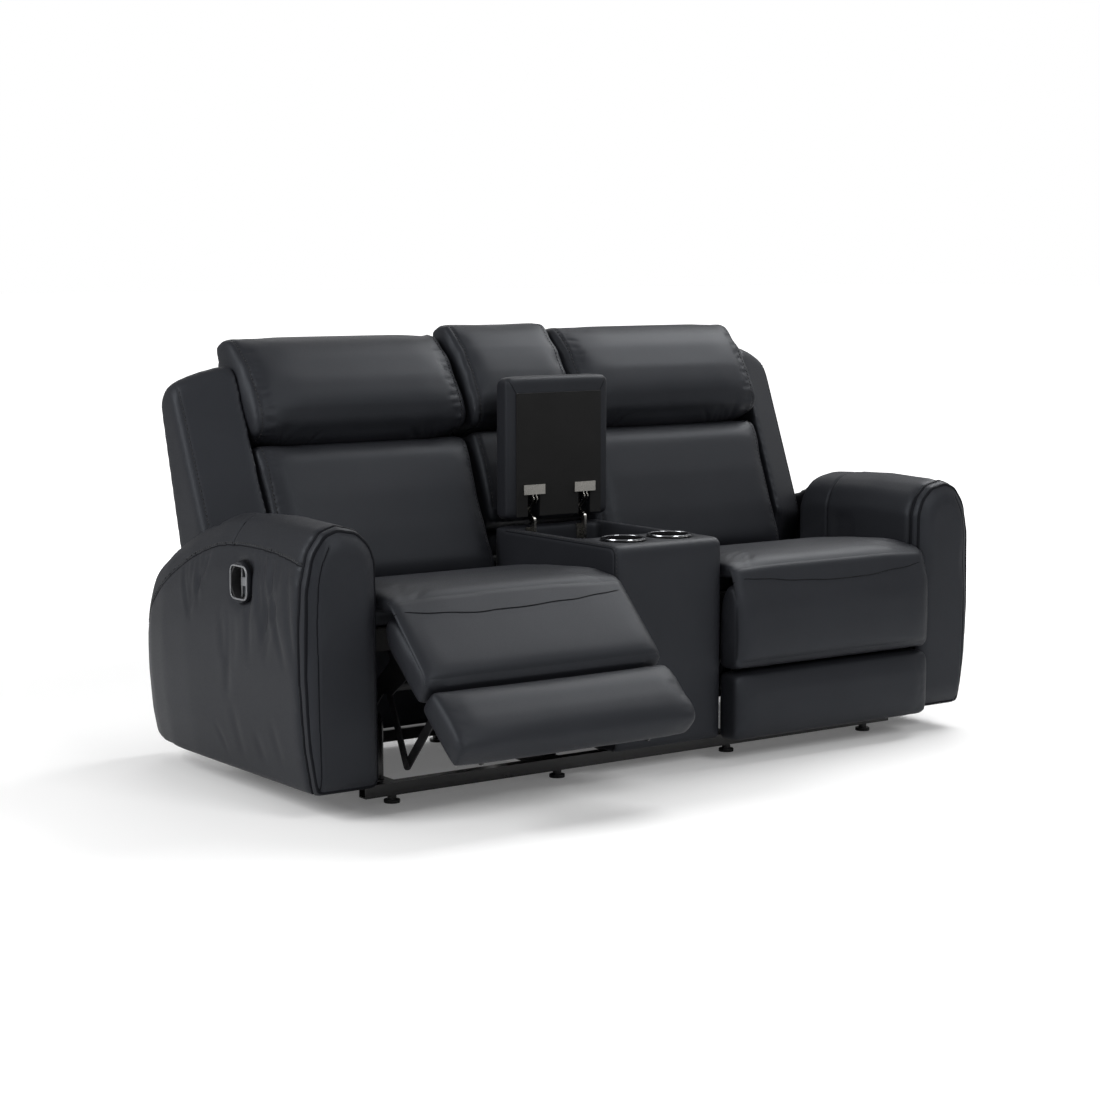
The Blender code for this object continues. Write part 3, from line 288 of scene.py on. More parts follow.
@dataclass(frozen=True)
class Hard(Finish):
    """Metal, moulded plastic or paint, with fine texture, scuffs and uneven gloss."""

    colour: Point
    roughness: float
    metallic: float = 0.0
    scale: float = 400.0
    bump: float = 0.06
    spread: float = 0.12
    coat: float = 0.0

    def wire(self, graph: Graph, shader: bpy.types.Node) -> None:
        """Fine texture and broad scuffs.

        Args:
            graph: the material's graph.
            shader: its Principled BSDF.
        """
        graph.feed(shader, {"Metallic": self.metallic, "Coat Weight": self.coat, "Coat Roughness": 0.15})
        place = graph.add("ShaderNodeTexCoord").outputs["Object"]
        fine = graph.add("ShaderNodeTexNoise", {"Vector": place, "Scale": self.scale, "Detail": 4.0})
        broad = graph.add("ShaderNodeTexNoise", {
            "Vector": place, "Scale": self.scale / 30, "Detail": 4.0, "Roughness": 0.6,
        }).outputs["Fac"]
        graph.surface(
            shader, ([0.72 * c for c in self.colour], [min(1.25 * c, 1) for c in self.colour]), broad,
            {"Value": broad, "From Min": 0.3, "From Max": 0.7, "To Min": max(self.roughness - self.spread, 0.05),
             "To Max": self.roughness + self.spread},
            {"Height": fine.outputs["Fac"], "Strength": self.bump, "Distance": 0.0005},
        )


LEATHER = Leather()
# A darker copy of the leather for piping and seam cords: its darker tone is painted shade of the seams' grooves and of
# the gaps beside the pipings.
PIPING_AND_SEAM_SHADE = Leather("piping_and_seam_shade_leather", (0.0036, 0.0037, 0.0052), (0.0026, 0.0026, 0.0038), 0.6, 0.1, 0.14)
LINING = Woven("lining_cloth", (0.0016, 0.0016, 0.0017))
DUST_CLOTH = Woven("dust_cloth", (0.012, 0.012, 0.012), 500.0, 0.92)
THREAD = Woven("thread", (0.0045, 0.0045, 0.0055), 2500.0, 0.7)
STEEL = Hard("black_paint", (0.012, 0.012, 0.013), 0.36, 0.0, 700.0, 0.1, 0.1, 0.15)
PLASTIC = Hard("moulded_black", (0.014, 0.014, 0.015), 0.42, 0.0, 1200.0, 0.1)
RIM_GREY = Hard("moulded_grey", (0.20, 0.205, 0.215), 0.36, 0.2, 900.0, 0.05)
GLOSS = Hard("gloss_black", (0.009, 0.009, 0.01), 0.14, 0.0, 200.0, 0.01, 0.05, 0.6)
CHROME = Hard("rim_chrome", (0.42, 0.43, 0.45), 0.16, 1.0, 150.0, 0.01, 0.06)
NICKEL = Hard("nickel_plate", (0.40, 0.39, 0.365), 0.27, 1.0, 500.0, 0.03, 0.1)


def new_piece(name: str, bm: bmesh.types.BMesh, finish: Finish, body: str) -> bpy.types.Object:
    """Turns a bmesh into a dressed piece that rides on a body.

    Args:
        name: the piece's name.
        bm: its mesh, freed here.
        finish: its finish.
        body: the body that it moves with, or nothing for a piece that rides on none.

    Returns:
        The piece.
    """
    mesh = bpy.data.meshes.new(name)
    bm.to_mesh(mesh)
    bm.free()
    mesh.materials.append(finish.material())
    mesh.shade_smooth()
    mesh.set_sharp_from_angle(angle=SHARP)
    piece = bpy.data.objects.new(name, mesh)
    bpy.context.scene.collection.objects.link(piece)
    if body:
        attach(piece, body)
    LOG.info("%s made", name)
    return piece


def settle(obj: bpy.types.Object) -> None:
    """Applies an object's modifiers to its mesh.

    Args:
        obj: the object, whose modifiers are removed.
    """
    graph = bpy.context.evaluated_depsgraph_get()
    mesh = bpy.data.meshes.new_from_object(obj.evaluated_get(graph))
    obj.modifiers.clear()
    obj.data = mesh


def thicken(piece: bpy.types.Object, thick: float) -> None:
    """Gives an open sheet its thickness, behind its faces.

    Args:
        piece: the sheet.
        thick: how thick it becomes.
    """
    solid = piece.modifiers.new("thickness", "SOLIDIFY")
    solid.thickness, solid.offset = thick, -1
    settle(piece)


def turn_faces(bm: bmesh.types.BMesh, out: Vector) -> None:
    """Makes an open sheet's faces look one way.

    Args:
        bm: the sheet.
        out: the way that they look on the whole.
    """
    bmesh.ops.recalc_face_normals(bm, faces=bm.faces)
    if sum(face.normal.dot(out) for face in bm.faces) < 0:
        bmesh.ops.reverse_faces(bm, faces=bm.faces)


def drop_islands(obj: bpy.types.Object) -> None:
    """Keeps only the largest connected part of a mesh.

    Args:
        obj: the object, whose mesh is changed.
    """
    bm = bmesh.new()
    bm.from_mesh(obj.data)
    bm.verts.ensure_lookup_table()
    seen, parts = np.zeros(len(bm.verts), bool), []
    for vert in bm.verts:
        if seen[vert.index]:
            continue
        seen[vert.index] = True
        part, front = [], [vert]
        while front:
            here = front.pop()
            part.append(here)
            for edge in here.link_edges:
                other = edge.other_vert(here)
                if not seen[other.index]:
                    seen[other.index] = True
                    front.append(other)
        parts.append(part)
    parts.sort(key=len)
    bmesh.ops.delete(bm, geom=[vert for part in parts[:-1] for vert in part], context="VERTS")
    bm.to_mesh(obj.data)
    bm.free()


def vectors_of(mesh: bpy.types.Mesh, kind: str) -> np.ndarray:
    """One vector of each vertex as an array of shape (n, 3).

    Args:
        mesh: the mesh.
        kind: co for its place, or normal.

    Returns:
        The vectors.
    """
    flat = np.empty(len(mesh.vertices) * 3, np.float32)
    mesh.vertices.foreach_get(kind, flat)
    return flat.reshape(-1, 3)


def points_of(mesh: bpy.types.Mesh) -> np.ndarray:
    """The vertices of a mesh."""
    return vectors_of(mesh, "co")


def normals_of(mesh: bpy.types.Mesh) -> np.ndarray:
    """The vertex normals of a mesh."""
    return vectors_of(mesh, "normal")


def store(mesh: bpy.types.Mesh, points: np.ndarray) -> None:
    """Puts moved vertices back.

    Args:
        mesh: the mesh.
        points: as many places as it has vertices.
    """
    mesh.vertices.foreach_set("co", points.astype(np.float32).ravel())
    mesh.update()


@dataclass
class Crease:
    """A fold or sewn channel pressed into a surface along a path."""

    path: Sequence[Vector]
    width: float = 0.006
    depth: float = 0.002
    fade: bool = True
    shoulder: float = 0.12
    shoulder_at: float = 1.9
    far: float = 4.0
    ends: float = 0.02
    taper: float = 0.6

    def press(self, points: np.ndarray, normals: np.ndarray) -> np.ndarray:
        """How far each vertex moves.

        Args:
            points: vertices.
            normals: their normals.

        Returns:
            The moves, of the same shape.
        """
        best = np.full(len(points), np.inf, np.float32)
        along = np.zeros(len(points), np.float32)
        count = max(len(self.path) - 1, 1)
        for i, (a, b) in enumerate(zip(self.path, self.path[1:])):
            start, run = np.array(a, np.float32), np.array(b - a, np.float32)
            t = np.clip(((points - start) @ run) / max(float(run @ run), 1e-12), 0, 1)
            away = np.linalg.norm(points - start - t[:, None] * run, axis=1)
            closer = away < best
            best = np.where(closer, away, best)
            along = np.where(closer, (i + t) / count, along)
        near = best < self.far * self.width
        strength = np.ones_like(along)
        if self.fade:
            strength = np.sin(np.pi * np.clip(along, self.ends, 1 - self.ends)) ** self.taper
        shape = -np.exp(-((best / self.width) ** 2))
        shape += self.shoulder * np.exp(-(((best - self.shoulder_at * self.width) / self.width) ** 2))
        return normals * (near * strength * shape * self.depth)[:, None]


class Surface:
    """A finished surface that seams, stitches and creases are laid on."""

    def __init__(self, obj: bpy.types.Object) -> None:
        """Reads the object's mesh.

        Args:
            obj: a mesh object at the origin.
        """
        bm = bmesh.new()
        bm.from_mesh(obj.data)
        self.tree = BVHTree.FromBMesh(bm)
        bm.free()

    def lay(self, route: Sequence[Sequence[float]], way: Way, step: float = 0.004) -> list[tuple[Vector, Vector]]:
        """Drops a route onto the surface.

        Args:
            route: points that the path passes, in metres.
            way: the direction from which they are dropped.
            step: spacing of the points made.

        Returns:
            Points on the surface with the normals there.
        """
        found: list[tuple[Vector, Vector]] = []
        towards = Vector(way.value)
        for place in smooth_path([Vector(p) for p in route], step):
            hit, normal, _, _ = self.tree.ray_cast(place - towards * CAST, towards, 2 * CAST)
            if hit is not None:
                found.append((hit, normal))
        return found


def resample(points: Sequence[Vector], step: float) -> list[Vector]:
    """Evenly spaced points along a path.

    Args:
        points: the path.
        step: the spacing.

    Returns:
        The new points, with both ends kept.
    """
    made, gone = [points[0]], 0.0
    for a, b in zip(points, points[1:]):
        run = (b - a).length
        while run and gone + run >= step:
            share = (step - gone) / run
            a = a.lerp(b, share)
            run = (b - a).length
            gone = 0.0
            made.append(a)
        gone += run
    return [*made, points[-1]]


def eased(points: Sequence[Vector], rounds: int) -> list[Vector]:
    """A path with its small kinks averaged out.

    Args:
        points: the path.
        rounds: how many times it is averaged.

    Returns:
        As many points, with both ends kept.
    """
    made = list(points)
    for _ in range(rounds):
        made = [made[0], *((a + 2 * b + c) / 4 for a, b, c in zip(made, made[1:], made[2:])), made[-1]]
    return made


def slice_ring(obj: bpy.types.Object, place: Vector, normal: Vector) -> list[Vector]:
    """The longest closed line in which a plane cuts an object.

    Args:
        obj: a mesh object at the origin.
        place: a point of the plane.
        normal: the plane's normal.

    Returns:
        The line's points in order, the first one not repeated.
    """
    bm = bmesh.new()
    bm.from_mesh(obj.data)
    geometry = [*bm.verts, *bm.edges, *bm.faces]
    cut = bmesh.ops.bisect_plane(bm, geom=geometry, dist=1e-6, plane_co=place, plane_no=normal)
    edges = dict.fromkeys(item for item in cut["geom_cut"] if isinstance(item, bmesh.types.BMEdge))
    best: list[Vector] = []
    while edges:
        edge, _ = edges.popitem()
        first, here = edge.verts
        line = [first.co.copy(), here.co.copy()]
        while True:
            onward = next((item for item in here.link_edges if item in edges), None)
            if onward is None:
                break
            del edges[onward]
            here = onward.other_vert(here)
            line.append(here.co.copy())
        if len(line) > len(best):
            best = line
    bm.free()
    return best


def interpolate(share: float, table: Sequence[tuple[float, float]]) -> float:
    """The value that a table of places and values has at a share, eased between them.

    Args:
        share: where.
        table: places in rising order, with their values.

    Returns:
        The value.
    """
    for (a, low), (b, high) in zip(table, table[1:]):
        if share <= b:
            t = (share - a) / (b - a)
            return low + (high - low) * t * t * (3 - 2 * t)
    return table[-1][1]


def smooth_path(route: Sequence[Vector], step: float) -> list[Vector]:
    """A smooth curve through a route, with evenly spaced points.

    Args:
        route: the points that it passes.
        step: the spacing.

    Returns:
        The curve's points.
    """
    if len(route) < 3:
        count = max(int((route[-1] - route[0]).length / step), 2)
        return [route[0].lerp(route[-1], i / count) for i in range(count + 1)]
    points: list[Vector] = []
    padded = [route[0] * 2 - route[1], *route, route[-1] * 2 - route[-2]]
    for p0, p1, p2, p3 in zip(padded, padded[1:], padded[2:], padded[3:]):
        count = max(int((p2 - p1).length / step), 1)
        for i in range(count):
            t = i / count
            points.append(0.5 * (
                2 * p1 + (p2 - p0) * t + (2 * p0 - 5 * p1 + 4 * p2 - p3) * t * t
                + (3 * p1 - p0 - 3 * p2 + p3) * t ** 3
            ))
    return [*points, route[-1]]


def tube(bm: bmesh.types.BMesh, path: Sequence[Vector], radius: float, sides: int = 8, closed: bool = False) -> None:
    """Extrudes a round section along a path.

    Args:
        bm: the mesh to add to.
        path: the middle line.
        radius: of the section.
        sides: of the section.
        closed: whether the ends join.
    """
    count = len(path)
    across = Vector((0, 0, 1))
    rings = []
    for i, place in enumerate(path):
        after = path[(i + 1) % count] if closed or i + 1 < count else place
        before = path[i - 1] if closed or i else place
        run = (after - before).normalized()
        across = across - run * across.dot(run)
        if across.length < 1e-6:
            across = run.orthogonal()
        across.normalize()
        turn = run.cross(across)
        ring = bmesh.ops.create_circle(bm, segments=sides, radius=radius)["verts"]
        spin = Matrix((across, turn, run)).transposed().to_4x4()
        bmesh.ops.transform(bm, matrix=Matrix.Translation(place) @ spin, verts=ring)
        rings.append(ring)
    for ring, following in zip(rings, rings[1:] + (rings[:1] if closed else [])):
        for j in range(sides):
            bm.faces.new((ring[j - 1], ring[j], following[j], following[j - 1]))
    if not closed:
        bm.faces.new(list(reversed(rings[0])))
        bm.faces.new(rings[-1])


def seam_shade_cord(name: str, laid: Sequence[tuple[Vector, Vector]], radius: float, body: str,
              sink: float = 0.0) -> bpy.types.Object:
    """A piping or seam line laid on a surface, as a cord in darker leather that paints the shade of the seam's groove.

    Args:
        name: the piece's name.
        laid: points and normals on the surface.
        radius: of the cord.
        body: what it rides on.
        sink: how far its middle lies under the surface.

    Returns:
        The piece.
    """
    bm = bmesh.new()
    tube(bm, [place - normal * sink for place, normal in laid], radius)
    return new_piece(name, bm, PIPING_AND_SEAM_SHADE, body)


def stitch_row(name: str, laid: Sequence[tuple[Vector, Vector]], body: str, length: float = 0.0065,
               gap: float = 0.0035, radius: float = 0.0013) -> bpy.types.Object:
    """A row of separate thread stitches.

    Args:
        name: the piece's name.
        laid: points and normals on the surface.
        body: what it rides on.
        length: of a stitch.
        gap: between stitches.
        radius: of the thread.

    Returns:
        The piece.
    """
    bm = bmesh.new()
    gone = 0.0
    for (a, normal), (b, _) in zip(laid, laid[1:]):
        run = b - a
        while gone < run.length:
            middle = a + run.normalized() * gone + normal * radius * STITCH_PROUD
            made = bmesh.ops.create_icosphere(bm, subdivisions=1, radius=1)["verts"]
            turn = run.to_track_quat("Z", "Y").to_matrix().to_4x4()
            size = Matrix.Diagonal((radius, radius, length / 2, 1))
            bmesh.ops.transform(bm, matrix=Matrix.Translation(middle) @ turn @ size, verts=made)
            gone += length + gap
        gone -= run.length
    return new_piece(name, bm, THREAD, body)


@dataclass(frozen=True)
class Panel:
    """A face of a node's box, on which places are given as shares of its width and height."""

    low: Vector
    high: Vector
    way: Way

    @classmethod
    def of(cls, node: str, way: Way) -> "Panel":
        """The panel of a node that is seen along a direction.

        Args:
            node: its name.
            way: the direction.

        Returns:
            The panel.
        """
        corners = [Vector(corner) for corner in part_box(node)]
        low = Vector(min(c[i] for c in corners) for i in range(3))
        high = Vector(max(c[i] for c in corners) for i in range(3))
        return cls(low, high, way)

    def at(self, u: float, v: float) -> Vector:
        """The place at two shares.

        Args:
            u: across, from the lower x, or from the lower y on a side face.
            v: upwards, or towards the rear on a top face.

        Returns:
            The place, in the middle of the node's depth.
        """
        low, high, middle = self.low, self.high, (self.low + self.high) / 2
        if self.way is Way.BACK:
            return Vector((low.x + (high.x - low.x) * u, middle.y, low.z + (high.z - low.z) * v))
        if self.way is Way.DOWN:
            return Vector((low.x + (high.x - low.x) * u, low.y + (high.y - low.y) * v, middle.z))
        return Vector((middle.x, low.y + (high.y - low.y) * u, low.z + (high.z - low.z) * v))


@dataclass(frozen=True)
class Fold:
    """A fold or channel on a panel, given by shares of it."""

    route: tuple[Share, ...]
    width: float = 0.006
    depth: float = 0.0022


@dataclass(frozen=True)
class Gathers:
    """Short folds that fan out from a seam, in shares of a panel.

    The seam runs from start to end, reach is how far a fold runs from it, and the seed makes the
    small differences between the folds.
    """

    start: Share
    end: Share
    reach: Share
    count: int
    seed: int
    depth: float = 0.0022
    width: float = 0.006

    def folds(self) -> list[Fold]:
        """The folds, each a little different."""
        random = np.random.default_rng(self.seed)
        over, up = self.reach
        folds = []
        for i in range(self.count):
            share = (i + 0.5 + random.uniform(-0.25, 0.25)) / self.count
            u, v = (a + (b - a) * share for a, b in zip(self.start, self.end))
            far = random.uniform(0.5, 1.0)
            bend = random.uniform(-0.22, 0.22)
            middle = (u + over * far * 0.5 + up * bend * 0.4, v + up * far * 0.5 - over * bend * 0.4)
            last = (u + over * far + up * bend, v + up * far - over * bend)
            width = self.width * random.uniform(0.75, 1.2)
            folds.append(Fold(((u, v), middle, last), width, self.depth * random.uniform(0.6, 1.1)))
        return folds


@dataclass(frozen=True)
class Side:
    """One of the two seats' sides."""

    word: str
    hand: float

    def name(self, rest: str) -> str:
        """A node or body name of this side."""
        return f"{self.word}_{rest}"

    def flip(self, shares: Sequence[Share]) -> tuple[Share, ...]:
        """Shares given from the outer end, turned to run from the lower x."""
        return tuple((u if self.hand < 0 else 1 - u, v) for u, v in shares)

    def outer(self, panel: Panel) -> float:
        """The x of a panel's outer end."""
        return panel.low.x if self.hand < 0 else panel.high.x

    def footrest(self) -> tuple[Vector, float]:
        """The y and z of the footrest's hinge, and its angle from closed, in radians."""
        joints = frame["record"]["behaviour"]["joints"]
        hinge = next(joint for joint in joints if joint["name"] == self.name("footrest_hinge"))
        return Vector(hinge["pos_m"]).yz, math.radians(-min(hinge["range_deg"]))


def facing(axis: int, sign: float, least: float = 0.75) -> Rule:
    """A rule that holds the vertices facing one way still.

    Args:
        axis: 0, 1 or 2.
        sign: 1 or -1.
        least: the smallest component that counts.

    Returns:
        The rule.
    """
    return lambda points, normals: normals[:, axis] * sign > least


def evened(field: np.ndarray, edges: np.ndarray, rounds: int) -> np.ndarray:
    """Values on vertices averaged with those of their neighbours.

    Args:
        field: a value for each vertex.
        edges: pairs of vertices.
        rounds: how many times it is averaged.

    Returns:
        The new values.
    """
    count = len(field)
    share = np.maximum(np.bincount(edges.ravel(), minlength=count), 1)
    first, second = edges.T
    for _ in range(rounds):
        total = np.bincount(first, field[second], count) + np.bincount(second, field[first], count)
        field = (field + total / share) / 2
    return field


@dataclass(frozen=True)
class Stuffing:
    """How a padded node is filled and pressed into its soft shape.

    Lengths are in metres. The cap limits how far the filling blows a cover up, grow moves all of
    it outwards, droop lowers its middle, and spare is how far it may pass its solid's box. A held
    rule says which vertices stay in place. Without pressure nothing is simulated.
    """

    voxel: float
    fill: float
    grow: float = 0.0
    pressure: float = 0.0
    cap: float = 0.0
    droop: float = 0.0
    spare: Point = (0.004, 0.012, 0.012)
    rounds: int = 14
    relax: int = 4
    blend: int = 3
    frames: int = 12
    held: Rule | None = None

    def swell(self, obj: bpy.types.Object) -> None:
        """Blows the object up like a filled cover, within the cap.

        Args:
            obj: the remeshed object, whose mesh is replaced.
        """
        start, normals = points_of(obj.data), normals_of(obj.data)
        low, high = start.min(axis=0), start.max(axis=0)
        edges = np.empty(len(obj.data.edges) * 2, np.int32)
        obj.data.edges.foreach_get("vertices", edges)
        edges = edges.reshape(-1, 2)
        start = np.stack([evened(start[:, axis], edges, self.relax) for axis in range(3)], axis=1)
        share = (start - low) / (high - low)
        start[:, 2] -= self.droop * (1 - (2 * share[:, 0] - 1) ** 2) * np.clip(1 - 2 * share[:, 2], 0, 1)
        still = self.held(start, normals) if self.held else np.zeros(len(start), bool)
        free = (1 - evened(still.astype(float), edges, self.blend))[:, None]
        made = start + normals * self.grow * free
        if self.pressure:
            store(obj.data, start)
            self.simulate(obj, np.flatnonzero(still))
            blown = ((points_of(obj.data) - start) * normals).sum(axis=1)
            blown = np.clip(blown, -self.cap, self.cap)
            made = made + normals * evened(blown, edges, self.rounds)[:, None] * free
        spare = np.array(self.spare)
        store(obj.data, np.clip(made, low - spare, high + spare))

    def simulate(self, obj: bpy.types.Object, still: Sequence[int]) -> None:
        """Runs the filling's pressure on a cover and applies it.

        Args:
            obj: the cover.
            still: numbers of the vertices that are held.
        """
        group = obj.vertex_groups.new(name="held")
        group.add([int(i) for i in still], 1.0, "REPLACE")
        cloth = obj.modifiers.new("filling", "CLOTH")
        cloth.settings.use_pressure = True
        cloth.settings.uniform_pressure_force = self.pressure
        cloth.settings.vertex_group_mass = group.name
        cloth.settings.effector_weights.gravity = 0
        cloth.settings.quality = 4
        cloth.settings.tension_stiffness = 12
        cloth.settings.compression_stiffness = 12
        cloth.settings.bending_stiffness = 0.6
        cloth.collision_settings.use_collision = False
        cloth.point_cache.frame_start = 1
        cloth.point_cache.frame_end = self.frames
        for number in range(1, self.frames + 1):
            bpy.context.scene.frame_set(number)
        settle(obj)
        bpy.context.scene.frame_set(1)


class Cover:
    """A soft cover that stands for a padded node."""

    def __init__(self, node: str, body: str, stuffing: Stuffing, also: Sequence[str] = (),
                 block: tuple[Point, Point] | None = None) -> None:
        """Makes the filled shape.

        Args:
            node: the node whose solid it starts from.
            body: what it rides on.
            stuffing: how it is filled.
            also: further nodes that are sewn into the same skin.
            block: the two corners of a further board under the same skin.
        """
        self.node, self.body = node, body
        bm = bmesh.new()
        for each in (node, *also):
            bm.from_mesh(frame["nodes"][each].data)
        if block:
            low, high = (Vector(corner) for corner in block)
            size = Matrix.Diagonal((*(high - low), 1))
            bmesh.ops.create_cube(bm, size=1, matrix=Matrix.Translation((low + high) / 2) @ size)
        bmesh.ops.remove_doubles(bm, verts=bm.verts, dist=MERGE)
        self.piece = new_piece(f"{node}_cover", bm, LEATHER, body)
        remesh = self.piece.modifiers.new("remesh", "REMESH")
        remesh.mode = "VOXEL"
        remesh.voxel_size = stuffing.voxel * 1
        settle(self.piece)
        drop_islands(self.piece)
        stuffing.swell(self.piece)
        finer = self.piece.modifiers.new("finer", "SUBSURF")
        finer.levels = finer.render_levels = 1
        settle(self.piece)
        self.piece.data.shade_smooth()
        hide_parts(node, *also)
        LOG.info("%s: %d faces", self.piece.name, len(self.piece.data.polygons))

    def panel(self, way: Way) -> Panel:
        """The panel of this cover's node along a direction."""
        return Panel.of(self.node, way)

    def gather(self, way: Way, gathers: Sequence[Gathers], side: Side | None = None) -> None:
        """Presses gathers into one face.

        Args:
            way: the direction from which they are laid.
            gathers: the gathers, given from the outer end where there is a side.
            side: the side that they are turned to.
        """
        panel, surface = self.panel(way), Surface(self.piece)
        points, normals = points_of(self.piece.data), normals_of(self.piece.data)
        moves = np.zeros_like(points)
        for fold in (fold for each in gathers for fold in each.folds()):
            route = side.flip(fold.route) if side else fold.route
            path = [place for place, _ in surface.lay([panel.at(u, v) for u, v in route], way, 0.012)]
            if len(path) > 1:
                moves += Crease(path, fold.width, fold.depth).press(points, normals)
        store(self.piece.data, points + moves)

    def route(self, way: Way, shares: Sequence[Share]) -> list[Vector]:
        """A line on this cover.

        Args:
            way: the direction from which it is laid.
            shares: places on the panel.

        Returns:
            Its points.
        """
        panel = self.panel(way)
        return [place for place, _ in Surface(self.piece).lay([panel.at(u, v) for u, v in shares], way)]

    def ring(self, place: Vector, normal: Vector, keep: Callable[[Vector], bool], step: float = 0.004) -> list[Vector]:
        """The longest unbroken part of the line in which a plane cuts this cover.

        Args:
            place: a point of the plane.
            normal: its normal.
            keep: says which points are kept.
            step: spacing of the points made.

        Returns:
            Its points.
        """
        line = slice_ring(self.piece, place, normal)
        starts = [i for i, point in enumerate(line) if keep(point) and not keep(line[i - 1])]
        best: list[Vector] = line if not starts else []
        for start in starts:
            part = []
            for i in range(len(line)):
                point = line[(start + i) % len(line)]
                if not keep(point):
                    break
                part.append(point)
            best = max(best, part, key=len)
        return eased(resample(best, step), 3)

    def seam(self, label: str, line: Sequence[Vector], width: float = 0.0, depth: float = 0.0,
             cord: float = 0.0, stitches: float = 0.0) -> None:
        """A seam, with a channel, a dark cord in it that paints the channel's shade, and stitches beside it where they
        are asked for.

        Args:
            label: the last part of the names of its pieces.
            line: its points.
            width: of the channel.
            depth: of the channel, or 0.
            cord: the cord's radius, or 0.
            stitches: how far beside the seam they run, or 0.
        """
        if len(line) < 3:
            LOG.warning("%s: the seam %s has no length", self.node, label)
            return
        if depth:
            points, normals = points_of(self.piece.data), normals_of(self.piece.data)
            moves = Crease(line[::2], width, depth, fade=False).press(points, normals)
            store(self.piece.data, points + moves)
        tree = Surface(self.piece).tree
        laid = [tree.find_nearest(point)[:2] for point in line]
        if cord:
            seam_shade_cord(f"{self.node}_{label}_cord", laid, cord, self.body, sink=cord * CORD_SINK)
        if stitches:
            beside = [
                tree.find_nearest(a + (b - a).cross(normal).normalized() * stitches)[:2]
                for (a, normal), (b, _) in zip(laid, laid[1:]) if (b - a).length > MERGE
            ]
            stitch_row(f"{self.node}_{label}_stitches_1", beside, self.body)

    def end_seams(self, inset: float, behind: float, depth: float, above: float = 0.0) -> None:
        """Dotted seams round the front of both ends.

        Args:
            inset: how far in from each end.
            behind: how far behind the backs' face they reach.
            depth: of their channels.
            above: the lowest height that they reach.
        """
        panel = self.panel(Way.BACK)
        for label, x in (("seam_left", panel.low.x + inset), ("seam_right", panel.high.x - inset)):
            line = self.ring(Vector((x, 0, 0)), X_AXIS, lambda point: front_of_lean(point, behind) and point.z > above)
            self.seam(label, line, width=0.0035, depth=depth, stitches=STITCH_OFF)


def dress(finish: Finish, *nodes: str) -> None:
    """Gives nodes a finish through their slots.

    Args:
        finish: the finish.
        nodes: their names.
    """
    for node in nodes:
        for place in frame["nodes"][node].material_slots:
            place.material = finish.material()


def front_of_lean(point: Vector, back: float) -> bool:
    """Whether a point lies ahead of the plane that far behind the backs' face.

    Args:
        point: the point.
        back: how far behind.

    Returns:
        True ahead of it.
    """
    from_foot = Vector((point.y - BACK_FOOT[0], point.z - BACK_FOOT[1]))
    return from_foot.dot(Vector((math.cos(BACK_TILT), -math.sin(BACK_TILT)))) < back


@dataclass(frozen=True)
class Seat:
    """A seat cushion over its frame."""

    side: Side
    stuffing: Stuffing = Stuffing(
        0.008, 0.6, grow=0.001, pressure=4.0, cap=0.010, spare=(0.001, 0.012, 0.012), rounds=40, held=facing(2, -1),
    )
    gathers: tuple[Gathers, ...] = (
        Gathers((0.03, 0.12), (0.10, 0.02), (0.14, 0.12), 4, 11, 0.0016, 0.008),
        Gathers((0.97, 0.12), (0.90, 0.02), (-0.13, 0.12), 4, 12, 0.0016, 0.008),
        Gathers((0.2, 0.99), (0.8, 0.99), (0.02, -0.16), 7, 13, 0.0014, 0.009),
    )

    def build(self) -> None:
        """Makes the cushion with its slight folds."""
        cover = Cover(self.side.name("seat_cushion"), self.side.name("seat"), self.stuffing)
        cover.gather(Way.DOWN, self.gathers, self.side)
        dress(DUST_CLOTH, self.side.name("seat_frame"))


